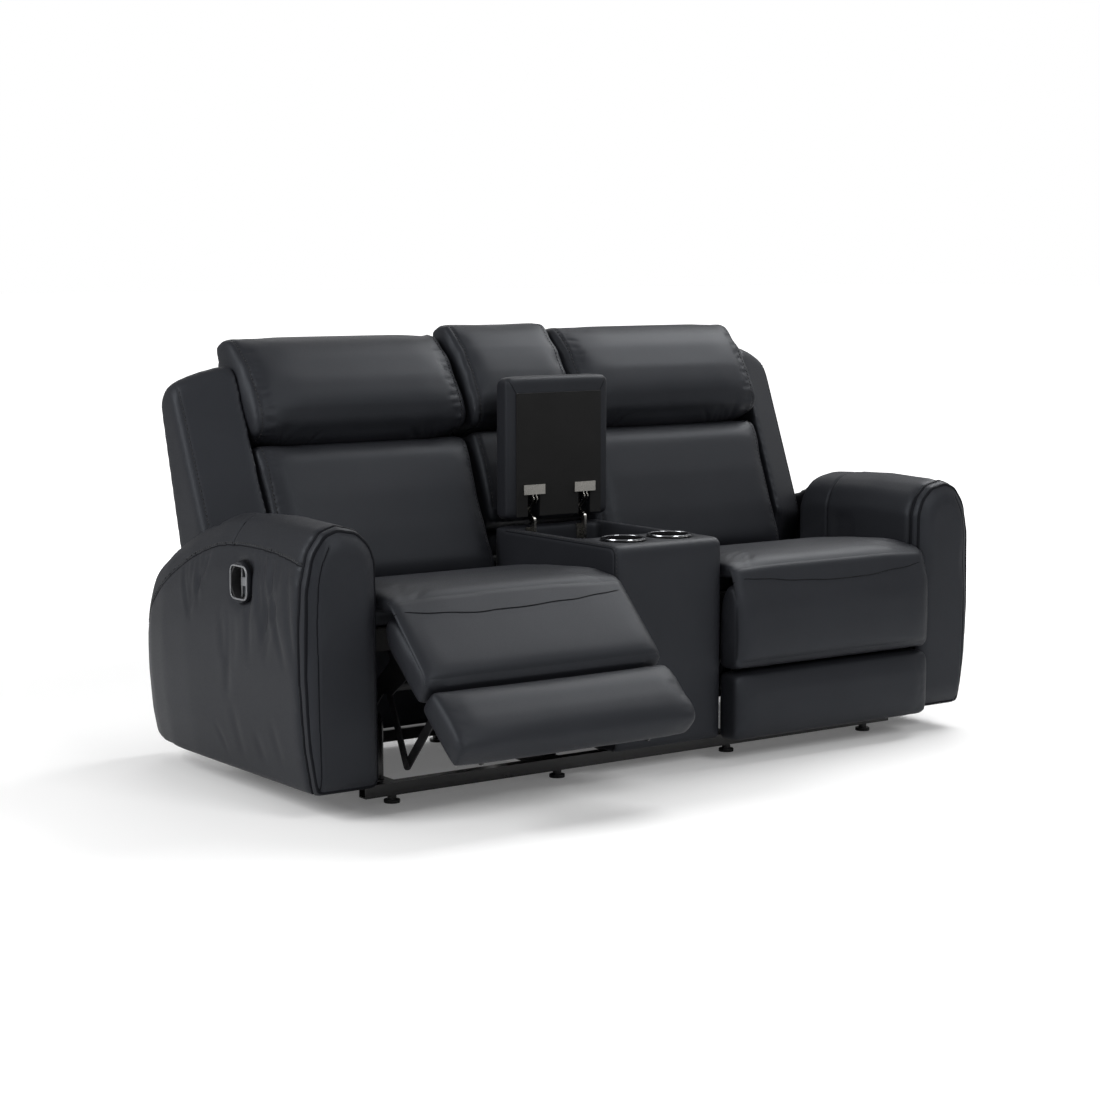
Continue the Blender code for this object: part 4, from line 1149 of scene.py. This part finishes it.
@dataclass(frozen=True)
class Back:
    """A back with its shell, back cushion and head pillow.

    A seam is given by how far behind the backs' face it reaches, and its channel's depth.
    """

    side: Side
    gusset: float = 0.018
    cushion_seam: Share = (0.030, 0.0014)
    pillow_seam: Share = (0.060, 0.0018)
    wing_in: float = 0.016
    wing_back: float = 0.10
    wing_foot: float = 0.13
    shell_stuffing: Stuffing = Stuffing(0.009, 0.4)
    cushion_stuffing: Stuffing = Stuffing(0.009, 0.65, grow=0.002, pressure=4.0, cap=0.012, held=facing(1, 1))
    pillow_stuffing: Stuffing = Stuffing(
        0.008, 0.8, grow=0.002, pressure=4.5, cap=0.014, droop=0.014, held=facing(1, 1, 0.9),
    )
    cushion_gathers: tuple[Gathers, ...] = (
        Gathers((0.12, 0.03), (0.88, 0.03), (0.01, 0.12), 7, 31, 0.0012, 0.010),
        Gathers((0.035, 0.1), (0.035, 0.9), (0.04, 0.01), 9, 32, 0.0008, 0.006),
        Gathers((0.965, 0.1), (0.965, 0.9), (-0.04, 0.01), 9, 33, 0.0008, 0.006),
    )
    pillow_gathers: tuple[Gathers, ...] = (
        Gathers((0.1, 0.05), (0.26, 0.03), (0.05, 0.2), 5, 41, 0.0020, 0.007),
        Gathers((0.9, 0.05), (0.74, 0.03), (-0.05, 0.2), 5, 42, 0.0020, 0.007),
        Gathers((0.035, 0.1), (0.035, 0.9), (0.06, 0.0), 12, 43, 0.0018, 0.006),
        Gathers((0.965, 0.1), (0.965, 0.9), (-0.06, 0.0), 12, 44, 0.0018, 0.006),
    )

    def build(self) -> None:
        """Makes the shell with its wing, the crowned lower cushion and the full head pillow."""
        self.shell()
        for rest, stuffing, gathers, seam in (
            ("back_cushion", self.cushion_stuffing, self.cushion_gathers, self.cushion_seam),
            ("head_pillow", self.pillow_stuffing, self.pillow_gathers, self.pillow_seam),
        ):
            cover = Cover(self.side.name(rest), self.side.name("back"), stuffing)
            cover.gather(Way.BACK, gathers, self.side)
            cover.end_seams(self.gusset, *seam)

    def shell(self) -> None:
        """The back's padded shell, seamed round the front and top of its wing."""
        cover = Cover(self.side.name("back_shell"), self.side.name("back"), self.shell_stuffing)
        panel = cover.panel(Way.BACK)
        corner = cover.ring(
            Vector((self.side.outer(panel) - self.side.hand * self.wing_in, 0, 0)), X_AXIS,
            lambda point: front_of_lean(point, self.wing_back) and point.z > panel.low.z + self.wing_foot,
        )
        cover.seam("wing_seam", corner, width=0.003, depth=0.0008, stitches=STITCH_OFF)


@dataclass(frozen=True)
class Footrest:
    """The footrest's two pads on their boards, and its hidden hardware."""

    side: Side
    rear_least: float = 0.6
    stuffing: Stuffing = Stuffing(0.008, 0.6, grow=0.001, pressure=3.0, cap=0.006)

    def build(self) -> None:
        """Makes the pads."""
        side = self.side
        for label, seed in (("upper", 51), ("lower", 61)):
            stuffing = replace(self.stuffing, held=self.rear)
            cover = Cover(side.name(f"footrest_{label}_pad"), side.name("footrest"), stuffing)
            cover.gather(Way.BACK, (
                Gathers((0.02, 0.15), (0.02, 0.85), (0.05, 0.0), 4, seed, 0.0007, 0.007),
                Gathers((0.98, 0.15), (0.98, 0.85), (-0.05, 0.0), 4, seed + 1, 0.0007, 0.007),
            ), side)
        dress(STEEL, side.name("footrest_frame"))

    def rear(self, points: np.ndarray, normals: np.ndarray) -> np.ndarray:
        """Which vertices face the footrest's frame, where nothing swells.

        Args:
            points: the vertices.
            normals: their normals.

        Returns:
            True on the pad's rear.
        """
        _, angle = self.side.footrest()
        return normals[:, 1] * math.cos(angle) - normals[:, 2] * math.sin(angle) > self.rear_least


@dataclass
class Apron:
    """The leather stretched from a seat's front over the footrest's top edge, with its curved seam."""

    side: Side
    back: float = 0.004
    spare: float = 0.012
    beyond: float = math.radians(50)
    bend: Share = (0.026, -0.004)
    waist: float = -0.042
    line: tuple[Share, ...] = (
        (0.0, 0.034), (0.12, 0.045), (0.3, 0.058), (0.5, 0.065), (0.66, 0.064), (0.85, 0.053), (1.0, 0.036),
    )
    inset: float = 0.003
    reach: float = 0.007
    lift: float = 0.0022
    sink: float = 1.2
    edge: float = 0.08
    side_edge: float = 0.015
    across: int = 110
    down: int = 48
    sweep: int = 60
    across_rounds: int = 4
    down_rounds: int = 3
    seam_rounds: int = 14
    thick: float = 0.002
    cord: float = 0.0014

    def build(self) -> None:
        """Lays the leather over the two covers and sews its seam."""
        side = self.side
        self.middle, self.open = side.footrest()
        covers = [side.name(f"{rest}_cover") for rest in ("seat_cushion", "footrest_upper_pad")]
        seat, pad = (points_of(bpy.data.objects[name].data) for name in covers)
        fall = (pad[:, 1:] - np.array(self.middle)) @ np.array(self.turned(Vector((0, 1)), 1) - self.middle)
        self.cloud = np.vstack([seat[seat[:, 1] < self.middle.x + self.back], pad[fall > fall.min() + self.spare]])
        self.span = (seat[:, 0].min() + self.inset, seat[:, 0].max() - self.inset)
        grid = np.array([self.column(i / self.across) for i in range(self.across + 1)])
        for _ in range(self.across_rounds):
            grid[1:-1] = (grid[:-2] + 2 * grid[1:-1] + grid[2:]) / 4
        bm = bmesh.new()
        bmesh.ops.create_grid(bm, x_segments=self.across, y_segments=self.down, size=0.5)
        for vert in bm.verts:
            vert.co = grid[round((vert.co.x + 0.5) * self.across), round((0.5 - vert.co.y) * self.down)]
        turn_faces(bm, Vector((0, -1, 0)))
        piece = new_piece(side.name("seat_apron"), bm, LEATHER, "")
        thicken(piece, self.thick)
        piece.data.shade_smooth()
        seam = []
        for i in range(self.across + 1):
            share = i / self.across if side.hand > 0 else 1 - i / self.across
            seam.append(self.along(grid[i], interpolate(share, self.line)))
        # The seam is a thin cord in darker leather: painted shade of its groove.
        laid = [(point, Vector((0, 0, 0))) for point in eased(seam, self.seam_rounds)]
        cord = seam_shade_cord(side.name("seat_apron_seam"), laid, self.cord, "")
        for each in (piece, cord):
            side.name("seat")
            side.name("footrest")
            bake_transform(each)

    def along(self, column: np.ndarray, length: float) -> Vector:
        """The place on a line of the leather at a length from its start."""
        steps = np.linalg.norm(np.diff(column, axis=0), axis=1)
        at = np.interp(length, np.concatenate([[0], np.cumsum(steps)]), np.arange(len(column)))
        low = min(int(at), len(column) - 2)
        return Vector(column[low] + (column[low + 1] - column[low]) * (at - low))

    def turned(self, spot: Vector, weight: float) -> Vector:
        """Where a place of the closed profile lies when the footrest stands as it does here.

        Args:
            spot: depth and height from the hinge.
            weight: how much it follows the footrest, from 0 to 1.

        Returns:
            Its y and z.
        """
        angle = self.open * weight
        c, n = math.cos(angle), math.sin(angle)
        return self.middle + Vector((spot.x * c + spot.y * n, spot.y * c - spot.x * n))

    def column(self, share: float) -> np.ndarray:
        """One taut line of the leather, from the seat's front down to the pad's face.

        Args:
            share: how far across, from the lower x.

        Returns:
            Its points.
        """
        x = self.span[0] + (self.span[1] - self.span[0]) * share
        near = self.cloud[np.abs(self.cloud[:, 0] - x) < self.reach][:, 1:]
        turns = np.linspace(0, math.pi / 2 - self.open + self.beyond, self.sweep)
        ways = np.stack([-np.sin(turns), np.cos(turns)], axis=1)
        picked = near[np.argmax(near @ ways.T, axis=0)]
        picked = picked[np.concatenate([[True], np.linalg.norm(np.diff(picked, axis=0), axis=1) > 1e-4])]
        lengths = np.concatenate([[0], np.cumsum(np.linalg.norm(np.diff(picked, axis=0), axis=1))])
        at = np.linspace(0, lengths[-1], self.down + 1)
        line = np.stack([np.interp(at, lengths, picked[:, axis]) for axis in (0, 1)], axis=1)
        for _ in range(self.down_rounds):
            line[1:-1] = (line[:-2] + 2 * line[1:-1] + line[2:]) / 4
        tangent = np.gradient(line, axis=0)
        out = np.stack([tangent[:, 1], -tangent[:, 0]], axis=1)
        out /= np.maximum(np.linalg.norm(out, axis=1), 1e-9)[:, None]
        rows = np.linspace(0, 1, self.down + 1)
        ends = np.full_like(rows, min(min(share, 1 - share) / self.side_edge, 1))
        rim = np.minimum.reduce([rows / self.edge, (1 - rows) / self.edge, ends])
        line += out * (self.lift * ((1 + self.sink) * rim - self.sink))[:, None]
        return np.column_stack([np.full(len(line), x), line])


@dataclass(frozen=True)
class Arm:
    """A padded arm with its piped front panel and release handle."""

    side: Side
    stuffing: Stuffing = Stuffing(0.010, 0.5, grow=0.0035)
    front_stuffing: Stuffing = Stuffing(0.006, 0.6, grow=0.001)
    gathers: tuple[Gathers, ...] = (
        Gathers((0.05, 0.855), (0.26, 0.88), (0.01, -0.5), 7, 71, 0.0050, 0.011),
        Gathers((0.46, 0.845), (0.64, 0.77), (0.01, -0.26), 6, 72, 0.0046, 0.010),
        Gathers((0.30, 0.62), (0.42, 0.62), (-0.02, -0.34), 3, 73, 0.0036, 0.012),
        Gathers((0.04, 0.1), (0.5, 0.05), (0.02, 0.2), 4, 74, 0.0016, 0.012),
    )
    band: tuple[Share, ...] = (
        (0.0, 0.846), (0.043, 0.858), (0.12, 0.873), (0.208, 0.881), (0.364, 0.877), (0.482, 0.849), (0.61, 0.784),
        (0.75, 0.68), (0.87, 0.55), (0.96, 0.4),
    )
    strip: tuple[Share, ...] = ((1.6, 0.01), (1.3, 0.3), (1.25, 0.6), (1.5, 0.82), (2.6, 0.93))
    strip_wide: float = 0.022
    cross_y: float = 0.055
    cross_outer: float = 0.556
    cross_inner: float = 0.40
    crown: float = 0.06
    cord: float = 0.0014
    pipings: tuple[tuple[str, float, float], ...] = (
        ("piping_rear", 0.006, 0.0048),
        ("piping_front", 0.026, 0.00384),
    )
    piping_foot: float = 0.004
    rim: float = 0.0020
    plate: float = 0.036
    square: float = 5.0
    sunk: float = 0.003
    deep: float = 0.011
    proud: float = 0.0014
    facets: int = 64

    def build(self) -> None:
        """Makes the arm, its front panel and the handle's finishes."""
        self.body()
        self.front()
        self.handle()

    def body(self) -> None:
        """The arm's padded body with its band, cross seam and gathers."""
        side = self.side
        cover = Cover(side.name("arm"), "base", replace(self.stuffing, held=self.recess))
        way = Way.FROM_LEFT if side.hand < 0 else Way.FROM_RIGHT
        cover.gather(way, self.gathers)
        band = eased(cover.route(way, self.band), 2)
        cover.seam("band", band, width=0.005, depth=0.0030, cord=self.cord, stitches=0.006)
        outer = side.outer(cover.panel(way))
        over = cover.ring(
            Vector((0, self.cross_y, 0)), Y_AXIS,
            lambda point: point.z > self.cross_outer
            or (point.z > self.cross_inner and abs(point.x - outer) > self.crown),
        )
        cover.seam("cross", over, width=0.004, depth=0.0026, cord=0.0011)

    def recess(self, points: np.ndarray, normals: np.ndarray) -> np.ndarray:
        """Which vertices line the handle's recess, where nothing swells.

        Args:
            points: the vertices.
            normals: their normals.

        Returns:
            True on those around the recess.
        """
        panel = Panel.of(self.side.name("bezel"), Way.FROM_LEFT)
        low, high = np.array(panel.low.yz) + self.sunk, np.array(panel.high.yz) - self.sunk
        return ((points[:, 1:] > low) & (points[:, 1:] < high)).all(axis=1)

    def handle(self) -> None:
        """The recess, with a thin pale rim and a leather collar, and the paddle in it."""
        side = self.side
        dress(PLASTIC, side.name("bezel"))
        dress(RIM_GREY, side.name("release_paddle"))
        panel = Panel.of(side.name("bezel"), Way.FROM_LEFT)
        outer, half = side.outer(panel), (panel.high - panel.low) / 2
        middle = (panel.low + panel.high) / 2
        proud, sunk = outer + side.hand * self.proud, outer - side.hand * self.deep
        inner, rim, edge = [], [], []
        for turn in (math.tau * i / self.facets for i in range(self.facets)):
            c, n = math.cos(turn), math.sin(turn)
            reach = self.plate / (abs(c) ** self.square + abs(n) ** self.square) ** (1 / self.square)
            for loop, x, wide, tall in (
                (inner, proud, reach, reach), (rim, proud, half.y, half.z),
                (edge, sunk, half.y + self.sunk, half.z + self.sunk),
            ):
                loop.append(Vector((x, middle.y + c * wide, middle.z + n * tall)))
        bm = bmesh.new()
        tube(bm, inner, self.rim, closed=True)
        new_piece(side.name("handle_rim"), bm, RIM_GREY, "base")
        bm = bmesh.new()
        loops = [[bm.verts.new(point) for point in path] for path in (inner, rim, edge)]
        for first, second in zip(loops, loops[1:]):
            for i in range(self.facets):
                after = (i + 1) % self.facets
                bm.faces.new((first[i], first[after], second[after], second[i]))
        turn_faces(bm, X_AXIS * side.hand)
        thicken(new_piece(side.name("handle_collar"), bm, LEATHER, "base"), self.proud / 2)

    def front(self) -> None:
        """The stuffed front panel with its doubled piping, whose darker leather paints the shade between the pipings
        and in the strip's groove.
        """
        cover = Cover(self.side.name("arm_front"), "base", self.front_stuffing)
        panel = cover.panel(Way.BACK)
        for label, ahead, radius in self.pipings:
            line = cover.ring(Vector((0, panel.high.y - ahead, 0)), Y_AXIS,
                              lambda point: point.z > panel.low.z + self.piping_foot)
            cover.seam(label, line, cord=radius)
        inset = self.strip_wide / (panel.high.x - panel.low.x)
        strip = self.side.flip([(inset * times, up) for times, up in self.strip])
        cover.seam("strip", cover.route(Way.BACK, strip), width=0.003, depth=0.0016, cord=self.cord)


@dataclass(frozen=True)
class Console:
    """The storage console with its lid, cup holders, back and pillow."""

    gusset: float = 0.016
    seam_in: float = 0.0012
    seam_above: float = 0.57
    seam_depth: float = 0.0018
    back_behind: float = 0.03
    pillow_behind: float = 0.06
    near: float = 0.02
    deck: float = 0.44
    box_foot: float = 0.06
    lip: float = 0.0018
    lip_in: float = 1.6
    lip_under: float = 0.5
    lip_facets: int = 48
    mitre: float = 0.02
    board_in: float = 0.004
    board: tuple[Share, Share] = ((0.332, 0.385), (0.358, 0.47))
    box_stuffing: Stuffing = Stuffing(0.0085, 0.3)
    lid_stuffing: Stuffing = Stuffing(0.0065, 0.6)
    back_stuffing: Stuffing = Stuffing(0.008, 0.6, grow=0.001)
    pillow_stuffing: Stuffing = Stuffing(
        0.006, 0.8, grow=0.001, pressure=4.5, cap=0.012, droop=0.010, held=facing(1, 1, 0.9),
    )
    back_gathers: tuple[Gathers, ...] = (Gathers((0.08, 0.53), (0.4, 0.5), (0.05, 0.1), 5, 81, 0.002, 0.007),)
    pillow_gathers: tuple[Gathers, ...] = (
        Gathers((0.16, 0.05), (0.5, 0.03), (0.06, 0.2), 4, 82, 0.0022, 0.007),
        Gathers((0.84, 0.05), (0.6, 0.03), (-0.06, 0.2), 3, 83, 0.0020, 0.007),
    )

    def build(self) -> None:
        """Makes the padded pieces and dresses the rest."""
        self.backs()
        self.lid()
        self.box()
        for side in ("left", "right"):
            self.cup(side)
            dress(NICKEL, f"lid_hinge_arm_{side}", f"lid_hinge_base_{side}")

    def box(self) -> None:
        """The box and its front deck under one skin, seamed along its edges."""
        cover = Cover("console_box", "base", self.box_stuffing, also=("console_deck",))
        low, high = Panel.of("console_box", Way.BACK).low, Panel.of("console_deck", Way.BACK).high
        for label, x in (("left", low.x + self.seam_in), ("right", high.x - self.seam_in)):
            line = cover.ring(
                Vector((x, 0, 0)), X_AXIS,
                lambda point: (point.z > high.z - self.near and point.y < low.y + self.deck)
                or (point.y < low.y + self.near and point.z > self.box_foot),
            )
            cover.seam(f"edge_{label}", line, width=0.003, depth=0.0012, cord=0.0013, stitches=0.005)

    def cup(self, side: str) -> None:
        """A cup holder with the bright lip of its flange.

        Args:
            side: left or right.
        """
        node = f"cup_holder_{side}"
        dress(GLOSS, node)
        panel = Panel.of(node, Way.DOWN)
        middle = (panel.low + panel.high) / 2
        radius, z = (panel.high.x - panel.low.x) / 2 - self.lip * self.lip_in, panel.high.z - self.lip * self.lip_under
        turns = (math.tau * i / self.lip_facets for i in range(self.lip_facets))
        bm = bmesh.new()
        path = [Vector((middle.x + radius * math.cos(turn), middle.y + radius * math.sin(turn), z)) for turn in turns]
        tube(bm, path, self.lip, closed=True)
        new_piece(f"{node}_lip", bm, CHROME, "base")

    def backs(self) -> None:
        """The console's back and pillow."""
        low, high = (Vector(corner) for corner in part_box("console_back"))
        first, last = self.board
        foot = ((low.x + self.board_in, *first), (high.x - self.board_in, *last))
        back = Cover("console_back", "base", self.back_stuffing, block=foot)
        back.gather(Way.BACK, self.back_gathers)
        pillow = Cover("console_pillow", "base", self.pillow_stuffing)
        pillow.gather(Way.BACK, self.pillow_gathers)
        for cover, behind in ((back, self.back_behind), (pillow, self.pillow_behind)):
            cover.end_seams(self.gusset, behind, self.seam_depth, self.seam_above)

    def lid(self) -> None:
        """The lid's padding with its mitred border, and its cloth lining."""
        cover = Cover("lid_cushion", "console_lid", self.lid_stuffing)
        outer, inner = (Panel.of(node, Way.BACK) for node in ("lid_cushion", "lid_lining"))
        wide, tall = outer.high.x - outer.low.x, outer.high.z - outer.low.z
        ends = (self.mitre, 1 - self.mitre)
        for side, end in ((0, 0), (0, 1), (1, 0), (1, 1)):
            x, z = (inner.low.x, inner.high.x)[side], (inner.low.z, inner.high.z)[end]
            corner = ((x - outer.low.x) / wide, (z - outer.low.z) / tall)
            line = cover.route(Way.BACK, [(ends[side], ends[end]), corner])
            cover.seam(f"mitre_{side + 1}_{end + 1}", line, width=0.003, depth=0.0012, cord=0.0009)
        dress(LINING, "lid_lining")


@dataclass(frozen=True)
class Mechanism:
    """The painted steel of one side's reclining mechanism."""

    side: Side
    pieces: tuple[str, ...] = (
        "side_plate_inner", "side_plate_outer", "rear_link_inner", "rear_link_outer", "front_link_inner",
        "front_link_outer", "torque_tube", "inner_base_rail", "outer_base_rail",
    )

    def build(self) -> None:
        """Paints the plates, links, tube and rails."""
        dress(STEEL, *(self.side.name(piece) for piece in self.pieces))


@dataclass(frozen=True)
class Base:
    """The rails that stand on the floor, and the padded boards behind the seats."""

    sides: tuple[Side, ...]
    stuffing: Stuffing = Stuffing(0.010, 0.3)

    def build(self) -> None:
        """Paints the rails and covers the boards."""
        dress(STEEL, "front_rail", "rear_rail")
        for side in self.sides:
            Cover(side.name("rear_panel"), "base", self.stuffing)


@dataclass(frozen=True)
class Studio:
    """Floor, light and camera. A lamp has a name, a place, a width and its watts."""

    place: Point = (-3.428, -4.587, 1.183)
    bearing: float = math.radians(-35.65)
    dip: float = math.radians(-6.97)
    lens: float = 79.76
    sensor: float = 36
    surround: float = 0.34
    lift: float = 0.11
    floor_half: float = 60
    aim: Point = (0, 0, 0.45)
    lamps: tuple[tuple[str, Point, float, float], ...] = (
        ("key", (-4.6, 0.4, 3.0), 2.4, 145),
        ("top", (2.3, 0.3, 3.1), 2.0, 84),
        ("front", (0.2, -5.8, 4.2), 2.4, 135),
        ("rim", (1.4, 4.0, 3.4), 2.4, 28),
    )

    def build(self) -> None:
        """Sets the scene up."""
        scene = bpy.context.scene
        scene.view_settings.view_transform = "Standard"
        self.floor()
        self.world()
        for lamp in self.lamps:
            self.lamp(*lamp)
        camera = bpy.data.objects.new("camera", bpy.data.cameras.new("camera"))
        camera.location = self.place
        camera.rotation_euler = Euler((math.pi / 2 + self.dip, 0, self.bearing))
        camera.data.lens, camera.data.sensor_width = self.lens, self.sensor
        scene.collection.objects.link(camera)
        scene.camera = camera

    def floor(self) -> None:
        """A pale floor that runs into the background."""
        bm = bmesh.new()
        bmesh.ops.create_grid(bm, x_segments=1, y_segments=1, size=self.floor_half)
        mesh = bpy.data.meshes.new("floor")
        bm.to_mesh(mesh)
        bm.free()
        made = bpy.data.materials.new("floor_white")
        made.use_nodes = True
        graph = Graph(made.node_tree)
        place = graph.add("ShaderNodeTexCoord").outputs["Object"]
        far = graph.add("ShaderNodeVectorMath", {0: place}, operation="LENGTH")
        glow = graph.add("ShaderNodeMapRange", {
            "Value": far.outputs["Value"], "From Min": 1.6, "From Max": 4.5, "To Min": self.lift, "To Max": 1.0,
        }, interpolation_type="SMOOTHSTEP")
        rays = graph.add("ShaderNodeLightPath").outputs["Is Camera Ray"]
        seen = graph.add("ShaderNodeMath", {0: glow.outputs[0], 1: rays}, operation="MULTIPLY")
        graph.feed(made.node_tree.nodes["Principled BSDF"], {
            "Base Color": (0.93, 0.93, 0.93, 1), "Roughness": 0.8, "Specular IOR Level": 0.05,
            "Emission Color": (1, 1, 1, 1), "Emission Strength": seen.outputs[0],
        })
        mesh.materials.append(made)
        floor = bpy.data.objects.new("floor", mesh)
        bpy.context.scene.collection.objects.link(floor)

    def world(self) -> None:
        """An even white surround."""
        world = bpy.data.worlds.new("surround")
        bpy.context.scene.world = world
        world.use_nodes = True
        graph = Graph(world.node_tree)
        rays = graph.add("ShaderNodeLightPath").outputs["Is Camera Ray"]
        level = graph.add("ShaderNodeMapRange", {"Value": rays, "To Min": self.surround, "To Max": 1.0})
        graph.feed(world.node_tree.nodes["Background"], {"Color": (1, 1, 1, 1), "Strength": level.outputs[0]})

    def lamp(self, name: str, place: Point, size: float, power: float) -> None:
        """An area lamp aimed at the middle of the seat.

        Args:
            name: its name.
            place: where it hangs.
            size: its width.
            power: in watts.
        """
        data = bpy.data.lights.new(name, "AREA")
        data.size, data.energy = size, power
        lamp = bpy.data.objects.new(name, data)
        lamp.location = place
        lamp.rotation_euler = (Vector(self.aim) - Vector(place)).to_track_quat("-Z", "Y").to_euler()
        bpy.context.scene.collection.objects.link(lamp)


def main() -> None:
    """Builds everything in order."""
    sides = (Side("left", -1.0), Side("right", 1.0))
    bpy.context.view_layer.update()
    Base(sides).build()
    for side in sides:
        for part in (Mechanism, Seat, Back, Footrest, Apron, Arm):
            part(side).build()
        LOG.info("%s side done", side.word)
    Console().build()
    Studio().build()


if __name__ == "__main__":
    main()
